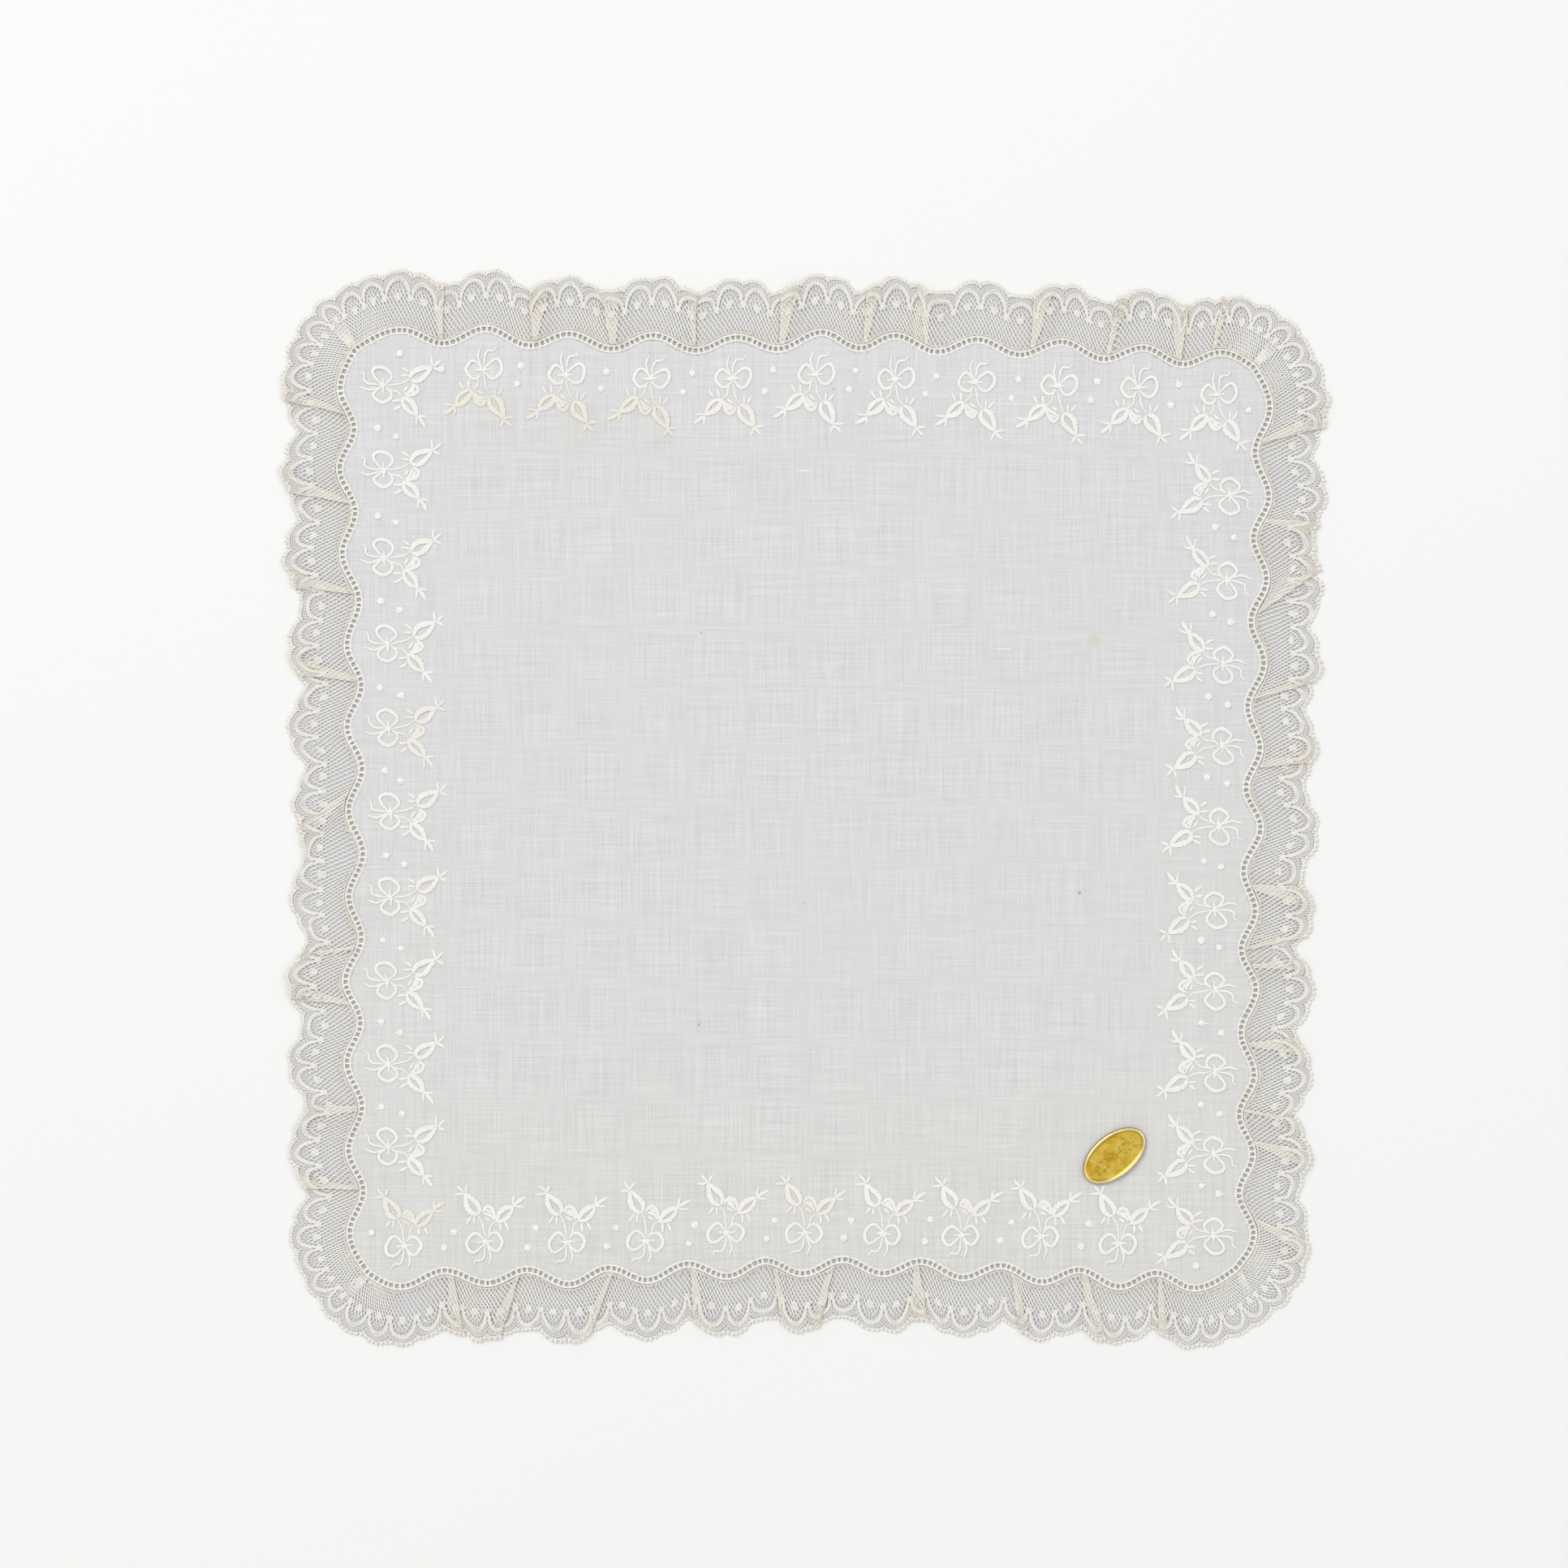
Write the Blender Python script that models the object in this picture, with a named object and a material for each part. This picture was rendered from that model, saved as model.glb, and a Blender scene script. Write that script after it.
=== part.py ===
"""A lace-edged lawn handkerchief laid flat: panel, entredeux beading, pleated lace frill and a foil seal.

The frame is the surface it lies on: +Z is up, +Y is the top edge of the handkerchief, and the
origin is the middle of the square, on the underside. The beading's centre line carries everything:
the panel's edge, the beading and the lace's footing are offsets of it, and the lace hangs outwards
from it in flat back-and-forth pleats.
"""
import math
from collections import namedtuple

import bmesh
import bpy
import numpy as np

MM = 0.001

# Driving dimensions, in metres
SHEET_THICK = 1.0 * MM
GAP = 0.4 * MM
BEADING_WIDTH = 2.6 * MM
LOBE_DEPTH = 4.0 * MM
LACE_WIDTH = 17.4 * MM
LACE_FAN = 0.15
SCALLOP_PITCH = 8.2 * MM
SCALLOP_DEPTH = 1.4 * MM
SCALLOP_ROUNDNESS = 0.6
FOLD_RADIUS = 0.75 * MM
PLEAT_COVER = 0.6 * MM
PLEAT_SLOPE = 6.0 * MM
SLOPE_ROOM = 0.96
ROOT_LAP = 0.25
DIP_REACH = 6.0 * MM
DIP_ABOVE = 0.25
FOOT_STEP = 3.6 * MM
SEAL_CENTRE = (87.5 * MM, -99.2 * MM)
SEAL_RADII = (10.3 * MM, 6.0 * MM)
SEAL_TURN = math.radians(39)
SEAL_THICK = 0.5 * MM
SEAL_RIM_WIDTH = 0.8 * MM
SEAL_RIM_RISE = 0.3 * MM
SEAL_STEPS = 36
STEPS_PER_LOBE = 10
FINE_STEPS_PER_LOBE = 40

# The beading's centre line runs clockwise over four sides between the corner notches. For each
# side: its first notch, how far along it each of its eleven crests stands, and how far out, in mm
Side = namedtuple("Side", "notch crests reach")
SIDES = {
    "top": Side(
        notch=(-127.3, 129.2),
        crests=(13.1, 36.9, 60.5, 84.3, 108.1, 132.1, 152.8, 176.1, 199.9, 223.1, 245.0),
        reach=(5.6, 6.5, 5.4, 5.5, 5.4, 7.3, 6.7, 6.1, 5.9, 4.7, 3.8),
    ),
    "right": Side(
        notch=(126.8, 124.2),
        crests=(11.8, 36.9, 60.2, 84.1, 108.2, 130.7, 154.3, 176.4, 200.7, 223.2, 245.8),
        reach=(5.0, 5.2, 5.0, 4.7, 4.1, 4.7, 3.6, 4.2, 4.2, 4.2, 4.9),
    ),
    "bottom": Side(
        notch=(121.9, -131.3),
        crests=(11.8, 32.9, 54.8, 77.3, 99.8, 122.6, 144.0, 166.8, 188.9, 211.9, 236.5),
        reach=(5.4, 4.9, 3.4, 2.1, 0.8, 0.7, 1.3, 2.3, 3.4, 2.9, 3.7),
    ),
    "left": Side(
        notch=(-123.6, -132.7),
        crests=(11.6, 34.9, 59.6, 82.9, 106.6, 131.2, 154.9, 177.9, 203.9, 228.0, 250.4),
        reach=(5.2, 5.2, 5.3, 5.4, 4.1, 3.8, 3.9, 3.6, 4.6, 5.0, 4.5),
    ),
}

# The lace's pleats, clockwise, in mm along each side from its first notch: where the fold edge
# meets the lace's rim (tip) and its footing (root), how wide the layers lap at the rim, which
# layer lies on top ("before" or "after" the fold), how far the rim is drawn in where it goes
# under, and where the first scallop of the lace after the fold begins
Pleat = namedtuple("Pleat", "tip root lap top dip scallop")
PLEATS = {
    "top": (
        Pleat(tip=24.4, root=24.6, lap=4.3, top="before", dip=1.0, scallop=28.8),
        Pleat(tip=48.8, root=50.0, lap=6.5, top="after", dip=2.5, scallop=56.5),
        Pleat(tip=68.4, root=72.1, lap=6.5, top="after", dip=4.0, scallop=75.8),
        Pleat(tip=96.4, root=96.2, lap=3.2, top="before", dip=1.0, scallop=101.6),
        Pleat(tip=120.4, root=120.0, lap=6.3, top="after", dip=1.5, scallop=133.6),
        Pleat(tip=144.4, root=143.8, lap=5.3, top="after", dip=2.0, scallop=148.8),
        Pleat(tip=158.3, root=161.3, lap=3.5, top="after", dip=1.5, scallop=161.5),
        Pleat(tip=192.1, root=191.2, lap=6.3, top="after", dip=2.5, scallop=192.4),
        Pleat(tip=216.0, root=212.6, lap=4.2, top="after", dip=3.5, scallop=218.5),
        Pleat(tip=235.7, root=233.8, lap=6.0, top="before", dip=1.0, scallop=243.0),
        Pleat(tip=245.4, root=242.7, lap=3.1, top="after", dip=2.5, scallop=247.1),
    ),
    "right": (
        Pleat(tip=16.5, root=21.4, lap=6.0, top="before", dip=2.5, scallop=25.8),
        Pleat(tip=43.9, root=43.2, lap=4.0, top="after", dip=2.0, scallop=53.2),
        Pleat(tip=56.0, root=69.5, lap=5.0, top="before", dip=4.0, scallop=73.3),
        Pleat(tip=88.0, root=94.0, lap=3.5, top="before", dip=4.0, scallop=96.3),
        Pleat(tip=111.5, root=113.4, lap=4.7, top="before", dip=4.5, scallop=116.4),
        Pleat(tip=147.0, root=146.7, lap=7.5, top="after", dip=2.5, scallop=155.2),
        Pleat(tip=161.4, root=165.0, lap=2.5, top="before", dip=2.0, scallop=163.8),
        Pleat(tip=167.0, root=169.4, lap=4.0, top="after", dip=1.0, scallop=172.2),
        Pleat(tip=190.0, root=191.4, lap=5.3, top="after", dip=2.5, scallop=198.0),
        Pleat(tip=212.6, root=210.4, lap=3.0, top="after", dip=2.5, scallop=218.0),
        Pleat(tip=221.9, root=219.4, lap=5.5, top="after", dip=1.0, scallop=228.6),
        Pleat(tip=248.0, root=241.5, lap=5.0, top="after", dip=4.0, scallop=254.0),
    ),
    "bottom": (
        Pleat(tip=21.6, root=21.9, lap=3.5, top="before", dip=1.5, scallop=23.7),
        Pleat(tip=36.0, root=42.0, lap=6.0, top="after", dip=2.5, scallop=43.5),
        Pleat(tip=61.0, root=63.3, lap=3.5, top="before", dip=3.5, scallop=65.2),
        Pleat(tip=87.2, root=89.7, lap=6.0, top="after", dip=1.5, scallop=92.1),
        Pleat(tip=118.3, root=113.9, lap=4.6, top="after", dip=4.5, scallop=121.0),
        Pleat(tip=128.8, root=130.6, lap=3.2, top="before", dip=3.0, scallop=137.0),
        Pleat(tip=153.4, root=154.1, lap=4.6, top="before", dip=2.0, scallop=162.4),
        Pleat(tip=183.5, root=176.5, lap=4.2, top="after", dip=5.0, scallop=189.6),
        Pleat(tip=208.6, root=203.2, lap=4.8, top="after", dip=4.0, scallop=212.0),
        Pleat(tip=218.5, root=221.5, lap=5.5, top="after", dip=1.5, scallop=224.6),
    ),
    "left": (
        Pleat(tip=24.4, root=23.9, lap=3.9, top="after", dip=1.0, scallop=30.4),
        Pleat(tip=47.8, root=47.4, lap=4.8, top="before", dip=2.0, scallop=51.3),
        Pleat(tip=78.2, root=76.3, lap=5.3, top="after", dip=2.0, scallop=81.5),
        Pleat(tip=90.9, root=92.7, lap=2.6, top="before", dip=3.0, scallop=101.3),
        Pleat(tip=125.8, root=136.5, lap=5.5, top="before", dip=5.5, scallop=144.5),
        Pleat(tip=170.0, root=167.9, lap=6.5, top="after", dip=1.5, scallop=177.8),
        Pleat(tip=194.8, root=192.6, lap=5.5, top="after", dip=1.5, scallop=205.8),
        Pleat(tip=222.0, root=218.3, lap=6.0, top="after", dip=2.5, scallop=231.2),
        Pleat(tip=248.2, root=243.6, lap=4.6, top="after", dip=2.5, scallop=258.3),
    ),
}

# A pleat's section from its upper layer to its lower one, with the upper layer before the fold:
# each place across the fold in fold radii (the hidden layer's length added where long is 1), its
# height in fold radii, and the way that the cloth's upper face looks there
Turn = namedtuple("Turn", "across long height face_across face_up")
SECTION = (
    Turn(across=0, long=0, height=4, face_across=0, face_up=1),
    Turn(across=1, long=0, height=3, face_across=1, face_up=0),
    Turn(across=0, long=0, height=2, face_across=0, face_up=-1),
    Turn(across=0, long=1, height=2, face_across=0, face_up=-1),
    Turn(across=-1, long=1, height=1, face_across=1, face_up=0),
    Turn(across=0, long=1, height=0, face_across=0, face_up=1),
)
STACK_RISE = 4 * FOLD_RADIUS

# One row of the lace from footing to rim: for each of the two, its place around the lace,
# its height and the way that its upper face looks; and how far the rim is drawn in
Row = namedtuple("Row", "foot rim draw_in")
Spot = namedtuple("Spot", "around height face_across face_up")


def smooth(t):
    """An even start and stop between 0 and 1."""
    return t * t * (3 - 2 * t)


def side_frames():
    """Each side's name, first notch, direction, outward direction and length."""
    names = list(SIDES)
    notches = [np.array(SIDES[name].notch) * MM for name in names]
    for i, name in enumerate(names):
        start, end = notches[i], notches[(i + 1) % len(names)]
        length = float(np.linalg.norm(end - start))
        along = (end - start) / length
        yield name, start, along, np.array([-along[1], along[0]]), length


def lobe_rule(side, length, steps):
    """Points of one side as (distance along, distance out, nearness to a corner notch)."""
    crests = [c * MM for c in side.crests]
    reach = [r * MM for r in side.reach]
    half = steps // 2 + 1
    for k in range(half):
        t = k / half
        yield crests[0] * t, reach[0] * math.sin(math.pi / 2 * t), 1 - t
    for i in range(len(crests) - 1):
        for k in range(steps):
            u = k / steps
            out = reach[i] + (reach[i + 1] - reach[i]) * smooth(u)
            dip = LOBE_DEPTH * (1 - math.cos(2 * math.pi * u)) / 2
            yield crests[i] + (crests[i + 1] - crests[i]) * u, out - dip, 0.0
    for k in range(half):
        t = 1 - k / half
        place = length - (length - crests[-1]) * t
        yield place, reach[-1] * math.sin(math.pi / 2 * t), 1 - t


def centre_line(steps):
    """The beading's centre line: points, outward normals, and the way that the lace lies from it."""
    points, square_out, corner = [], [], []
    for name, start, along, out, length in side_frames():
        for s, r, near in lobe_rule(SIDES[name], length, steps):
            points.append(start + along * s + out * r)
            square_out.append(out)
            corner.append(near)
    points, square_out, corner = map(np.array, (points, square_out, corner))
    tangent = np.roll(points, -1, axis=0) - np.roll(points, 1, axis=0)
    tangent /= np.linalg.norm(tangent, axis=1)[:, None]
    normal = np.stack([-tangent[:, 1], tangent[:, 0]], axis=1)
    share = (LACE_FAN + (1 - LACE_FAN) * smooth(corner))[:, None]
    lie = square_out * (1 - share) + normal * share
    return points, normal, lie / np.linalg.norm(lie, axis=1)[:, None]


class LaceGuide:
    """The lace's footing and rim as two closed lines over one measure: the length around the rim."""

    def __init__(self):
        points, normal, lie = centre_line(FINE_STEPS_PER_LOBE)
        self.foot = points + normal * (BEADING_WIDTH / 2 + GAP)
        self.rim = points + lie * LACE_WIDTH
        step = np.linalg.norm(np.roll(self.rim, -1, axis=0) - self.rim, axis=1)
        self.length = float(step.sum())
        self.around = np.concatenate([[0], np.cumsum(step)[:-1]])
        per_side = len(points) // len(SIDES)
        self.sides = {}
        for i, (name, start, along, _, _) in enumerate(side_frames()):
            rows = slice(i * per_side, (i + 1) * per_side)
            self.sides[name] = (rows, start, along)

    def measure(self, side, along_mm, line):
        """The place around the lace of a distance along a side, read on the rim or the footing."""
        rows, start, along = self.sides[side]
        return float(np.interp(along_mm * MM, (line[rows] - start) @ along, self.around[rows]))

    def on(self, line, around):
        """The point of a line at a place around the lace."""
        return np.array([np.interp(around, self.around, line[:, k], period=self.length) for k in (0, 1)])

    def scale(self, line, around):
        """How far a step of 1 around the lace goes on a line there."""
        step = 0.5 * MM
        return float(np.linalg.norm(self.on(line, around + step) - self.on(line, around - step)) / (2 * step))


class Fold:
    """One pleat, with its places measured around the lace."""

    def __init__(self, guide, side, row):
        self.sign = 1 if row.top == "before" else -1
        self.dip = row.dip * MM
        rim, foot = guide.measure(side, row.tip, guide.rim), guide.measure(side, row.root, guide.foot)
        self.scallop = guide.measure(side, row.scallop, guide.rim)
        self.scale = {"rim": guide.scale(guide.rim, rim), "foot": guide.scale(guide.foot, foot)}
        lap = {"rim": row.lap * MM, "foot": max(row.lap * MM * ROOT_LAP, 2.2 * FOLD_RADIUS)}
        self.lap = {end: lap[end] / self.scale[end] for end in lap}
        edge = FOLD_RADIUS * self.sign
        self.place = {"rim": rim - edge / self.scale["rim"], "foot": foot - edge / self.scale["foot"]}

    def section(self):
        """The rows of the pleat's own turns, in order around the lace."""
        turns = SECTION if self.sign > 0 else tuple(reversed(SECTION))
        rows = []
        for turn in turns:
            spots = {}
            for end in ("foot", "rim"):
                radius = FOLD_RADIUS / self.scale[end]
                hidden = self.lap[end] - 2 * radius
                across = self.sign * (turn.across * radius - turn.long * hidden)
                spots[end] = Spot(
                    around=self.place[end] + across,
                    height=turn.height * FOLD_RADIUS,
                    face_across=self.sign * turn.face_across,
                    face_up=turn.face_up,
                )
            under = turn.long == 1
            rows.append(Row(spots["foot"], spots["rim"], self.dip * (1 if under else DIP_ABOVE)))
        return rows

    def cover(self, end):
        """How far the upper layer stays up over the hidden ones, measured around the lace."""
        return self.lap[end] + PLEAT_COVER / self.scale[end]


def scallop_depth(fold, around):
    """How far the rim is cut back there by the lace's own scallops."""
    phase = (around - fold.scallop) / SCALLOP_PITCH
    return SCALLOP_DEPTH * (1 - abs(math.sin(math.pi * phase)) ** SCALLOP_ROUNDNESS)


def height_marks(fold, after, end, lap_round):
    """Where the single layer between two pleats bends, around the lace, with its height there."""
    first, last = fold.place[end], after.place[end] + lap_round
    covers = [fold.cover(end) if fold.sign < 0 else 0.0, after.cover(end) if after.sign > 0 else 0.0]
    raised = [cover > 0 for cover in covers]
    full = PLEAT_SLOPE / fold.scale[end]
    room = (last - first - sum(covers)) / max(sum(raised), 1)
    slope = min(full, SLOPE_ROOM * room)
    low = STACK_RISE * (1 - slope / full) if all(raised) else 0.0
    marks = [(first, STACK_RISE if raised[0] else 0.0)]
    if raised[0]:
        marks += [(first + covers[0], STACK_RISE), (first + covers[0] + slope, low)]
    if raised[1]:
        marks += [(last - covers[1] - slope, low), (last - covers[1], STACK_RISE)]
    return marks + [(last, STACK_RISE if raised[1] else 0.0)]


def stretch_between(fold, after, lap_round):
    """The rows of the single layer between one pleat and the next."""
    ends = {end: height_marks(fold, after, end, lap_round) for end in ("foot", "rim")}
    rows = []
    for k in range(len(ends["rim"]) - 1):
        (rim_a, _), (rim_b, _) = ends["rim"][k], ends["rim"][k + 1]
        thirds = [(s - rim_a) / (rim_b - rim_a) for s in scallop_thirds(fold, rim_a, rim_b)]
        foot_length = (ends["foot"][k + 1][0] - ends["foot"][k][0]) * fold.scale["foot"]
        for share in filled([0.0, *thirds, 1.0], foot_length)[0 if k else 1:-1]:
            spots = {}
            for end in ("foot", "rim"):
                (a, high_a), (b, high_b) = ends[end][k], ends[end][k + 1]
                spots[end] = Spot(a + (b - a) * share, high_a + (high_b - high_a) * share, 0, 1)
            rows.append(Row(spots["foot"], spots["rim"], draw_in(fold, after, spots["rim"].around, lap_round)))
    return rows


def filled(shares, length):
    """The same shares of a length, with more between those too far apart to follow the beading."""
    full = [shares[0]]
    for a, b in zip(shares, shares[1:]):
        parts = max(1, math.ceil((b - a) * length / FOOT_STEP))
        full += [a + (b - a) * k / parts for k in range(1, parts + 1)]
    return full


def scallop_thirds(fold, start, end):
    """The thirds of the lace's scallops that lie between two places, clear of both."""
    third = SCALLOP_PITCH / 3
    clear = third / 4
    first = math.ceil((start + clear - fold.scallop) / third)
    last = math.floor((end - clear - fold.scallop) / third)
    return [fold.scallop + k * third for k in range(first, last + 1)]


def draw_in(fold, after, around, lap_round):
    """How far the rim is drawn in between two pleats, by both pleats and the scallops."""
    pulls = (
        (fold, fold.sign > 0, around - fold.place["rim"]),
        (after, after.sign < 0, after.place["rim"] + lap_round - around),
    )
    total = scallop_depth(fold, around)
    for pleat, under, away in pulls:
        depth, reach = (pleat.dip, DIP_REACH) if under else (pleat.dip * DIP_ABOVE, DIP_REACH / 2)
        total += depth * math.exp(-away / reach)
    return total


def lace_rows(guide):
    """Every row of the lace, clockwise from the first pleat all the way round."""
    folds = [Fold(guide, side, row) for side in PLEATS for row in PLEATS[side]]
    rows = []
    for i, fold in enumerate(folds):
        last = i == len(folds) - 1
        rows += fold.section()
        rows += stretch_between(fold, folds[0 if last else i + 1], guide.length if last else 0.0)
    return rows


def lace_points(guide, rows):
    """The lace's four rings of points: foot and rim, upper and lower face."""
    half = SHEET_THICK / 2
    rings = {key: [] for key in ("foot_up", "rim_up", "rim_down", "foot_down")}
    for row in rows:
        for end, spot in (("foot", row.foot), ("rim", row.rim)):
            line = guide.foot if end == "foot" else guide.rim
            scale = guide.scale(line, spot.around)
            for face, way in (("up", 1), ("down", -1)):
                around = spot.around + way * half * spot.face_across / scale
                at = guide.on(line, around)
                if end == "rim":
                    inward = guide.on(guide.foot, row.foot.around) - at
                    at = at + inward * row.draw_in / np.linalg.norm(inward)
                height = half + spot.height + way * half * spot.face_up
                rings[f"{end}_{face}"].append((at[0], at[1], height))
    return rings


def ring_mesh(name, rings):
    """A closed mesh from rings of points that run round a section, each joined to the next.

    The first half of the rings is the upper face and the second half the lower one, with the rings
    in the other order, so both faces are split along the same diagonals and stay parallel.
    """
    bm = bmesh.new()
    loops = [[bm.verts.new(p) for p in ring] for ring in rings]
    for k, (a, b) in enumerate(zip(loops, loops[1:] + loops[:1])):
        if 2 * k >= len(loops):
            a, b = b, a
        for i in range(len(a)):
            j = (i + 1) % len(a)
            bm.faces.new((a[i], a[j], b[j]))
            bm.faces.new((a[i], b[j], b[i]))
    bmesh.ops.recalc_face_normals(bm, faces=bm.faces)
    mesh = bpy.data.meshes.new(name)
    bm.to_mesh(mesh)
    bm.free()
    return mesh


def flat_ring(outline, height):
    """An outline as points at one height."""
    return [(x, y, height) for x, y in outline]


def material(name, colour, roughness, metallic=0.0):
    """A plain material with the part's own colour."""
    made = bpy.data.materials.new(name)
    made.use_nodes = True
    shader = made.node_tree.nodes["Principled BSDF"]
    shader.inputs["Base Color"].default_value = (*colour, 1.0)
    shader.inputs["Roughness"].default_value = roughness
    shader.inputs["Metallic"].default_value = metallic
    return made


def place(name, mesh, finish):
    """An object for a mesh, in the scene, with its material."""
    made = bpy.data.objects.new(name, mesh)
    made.data.materials.append(finish)
    bpy.context.scene.collection.objects.link(made)
    return made


def lawn_panel():
    """The sheer lawn square, cut to the lobes just inside the beading."""
    points, normal, _ = centre_line(STEPS_PER_LOBE)
    outline = points - normal * (BEADING_WIDTH / 2 + GAP)
    bm = bmesh.new()
    low = bm.faces.new([bm.verts.new(p) for p in flat_ring(outline, 0.0)])
    raised = bmesh.ops.extrude_face_region(bm, geom=[low])["geom"]
    corners = [v for v in raised if isinstance(v, bmesh.types.BMVert)]
    bmesh.ops.translate(bm, verts=corners, vec=(0, 0, SHEET_THICK))
    bmesh.ops.recalc_face_normals(bm, faces=bm.faces)
    mesh = bpy.data.meshes.new("lawn_panel")
    bm.to_mesh(mesh)
    bm.free()
    return place("lawn_panel", mesh, material("white_lawn", (0.74, 0.74, 0.76), 0.85))


def beading():
    """The narrow entredeux between the lawn and the lace; its holes are under 2 mm and stay uncut."""
    points, normal, _ = centre_line(STEPS_PER_LOBE)
    inner, outer = points - normal * BEADING_WIDTH / 2, points + normal * BEADING_WIDTH / 2
    rings = [
        flat_ring(inner, 0.0),
        flat_ring(inner, SHEET_THICK),
        flat_ring(outer, SHEET_THICK),
        flat_ring(outer, 0.0),
    ]
    return place("beading", ring_mesh("beading", rings), material("cream_cotton", (0.84, 0.81, 0.74), 0.8))


def lace_edging():
    """The gathered lace frill, one strip all the way round, folded back and forth in flat pleats."""
    guide = LaceGuide()
    rings = lace_points(guide, lace_rows(guide))
    order = [rings[key] for key in ("foot_up", "rim_up", "rim_down", "foot_down")]
    return place("lace_edging", ring_mesh("lace_edging", order), material("ivory_lace", (0.8, 0.77, 0.71), 0.85))


def foil_seal():
    """The oval foil seal stuck on the lawn near its lower right corner, with a raised rim."""
    base = SHEET_THICK + GAP
    rims = (
        (0.0, base),
        (0.0, base + SEAL_THICK),
        (SEAL_RIM_WIDTH * 0.25, base + SEAL_THICK + SEAL_RIM_RISE),
        (SEAL_RIM_WIDTH * 0.75, base + SEAL_THICK + SEAL_RIM_RISE),
        (SEAL_RIM_WIDTH, base + SEAL_THICK),
    )
    bm = bmesh.new()
    loops = []
    for inset, height in rims:
        ring = []
        for k in range(SEAL_STEPS):
            turn = 2 * math.pi * k / SEAL_STEPS
            x, y = (SEAL_RADII[0] - inset) * math.cos(turn), (SEAL_RADII[1] - inset) * math.sin(turn)
            ring.append(bm.verts.new((x, y, height)))
        loops.append(ring)
    for a, b in zip(loops, loops[1:]):
        for k in range(SEAL_STEPS):
            bm.faces.new((a[k], a[(k + 1) % SEAL_STEPS], b[(k + 1) % SEAL_STEPS], b[k]))
    bm.faces.new(loops[0])
    bm.faces.new(loops[-1])
    bmesh.ops.recalc_face_normals(bm, faces=bm.faces)
    mesh = bpy.data.meshes.new("foil_seal")
    bm.to_mesh(mesh)
    bm.free()
    seal = place("foil_seal", mesh, material("gold_foil", (0.8, 0.6, 0.15), 0.3, metallic=1.0))
    seal.location = (*SEAL_CENTRE, 0.0)
    seal.rotation_euler = (0, 0, SEAL_TURN)
    return seal


def main():
    """Clear the scene and make the four pieces."""
    for old in list(bpy.data.objects):
        bpy.data.objects.remove(old)
    lawn_panel()
    beading()
    lace_edging()
    foil_seal()


main()
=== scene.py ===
"""Looks of the lace-edged lawn handkerchief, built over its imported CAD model.

All sizes here are in mm, in the CAD's frame: +Z up, +Y the top edge, the origin under the middle.
The beading's centre line and the lace's pleats repeat the tables of the part's source, so the lawn,
the beading and the lace lie where the solids do. The lace is drawn flat, as scallops along it and
mm in from its rim, and the Lace class lays each thread of it into the pleats.
"""
import math
from collections import namedtuple

import bpy
import numpy as np
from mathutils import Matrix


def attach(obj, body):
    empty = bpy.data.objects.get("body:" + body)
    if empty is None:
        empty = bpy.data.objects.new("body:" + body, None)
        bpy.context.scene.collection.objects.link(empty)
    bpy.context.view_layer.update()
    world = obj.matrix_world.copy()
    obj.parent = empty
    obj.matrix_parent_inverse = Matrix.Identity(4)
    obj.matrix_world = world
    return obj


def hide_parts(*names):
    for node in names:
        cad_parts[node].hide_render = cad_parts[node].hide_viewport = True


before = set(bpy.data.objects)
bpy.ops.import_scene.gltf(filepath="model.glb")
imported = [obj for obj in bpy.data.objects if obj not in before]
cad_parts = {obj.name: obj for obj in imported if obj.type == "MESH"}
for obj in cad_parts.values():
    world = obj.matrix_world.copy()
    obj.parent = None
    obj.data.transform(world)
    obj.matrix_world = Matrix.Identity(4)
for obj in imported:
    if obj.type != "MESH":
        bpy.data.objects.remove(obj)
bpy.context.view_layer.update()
MM = 0.001
rng = np.random.default_rng(11)

# The cloth's own sizes
BEADING_WIDTH = 2.6
GAP = 0.4
LOBE_DEPTH = 4.0
LACE_REACH = 17.4
LACE_DEEP = 15.7
LACE_FAN = 0.15
SCALLOP = 8.2
CLOTH_TOP = 1.0
LAWN_THICK = 0.3
LAWN_FALL = 0.4
LAWN_FALL_REACH = 6.5
LAWN_INSET = 0.95
LAWN_STEPS = 12
HOLE_PITCH = 1.6
RAIL_OUT = 0.86
BEADING_HIGH = 0.52
LACE_LOW = 0.45
FOLD_RADIUS = 0.14
PLEAT_COVER = 0.6
PLEAT_SLOPE = 5.0
SLOPE_ROOM = 0.96
ROOT_LAP = 0.25
# How far beside a lap the painted shade of the stacked layers reaches
LAP_SHADE_REACH = 2.8
LACE_UNEVEN = 0.28
DIP_REACH = 6.0
DIP_ABOVE = 0.25
STEPS_PER_LOBE = 40
LEVELS = 320
TABLE_HIGH = 0.01
TABLE_STEPS = 6000
TABLE_MARKS = 48
MATT = {"Roughness": 0.9, "Specular IOR Level": 0.1}
SEWN_UNDER = 0.45

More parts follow.
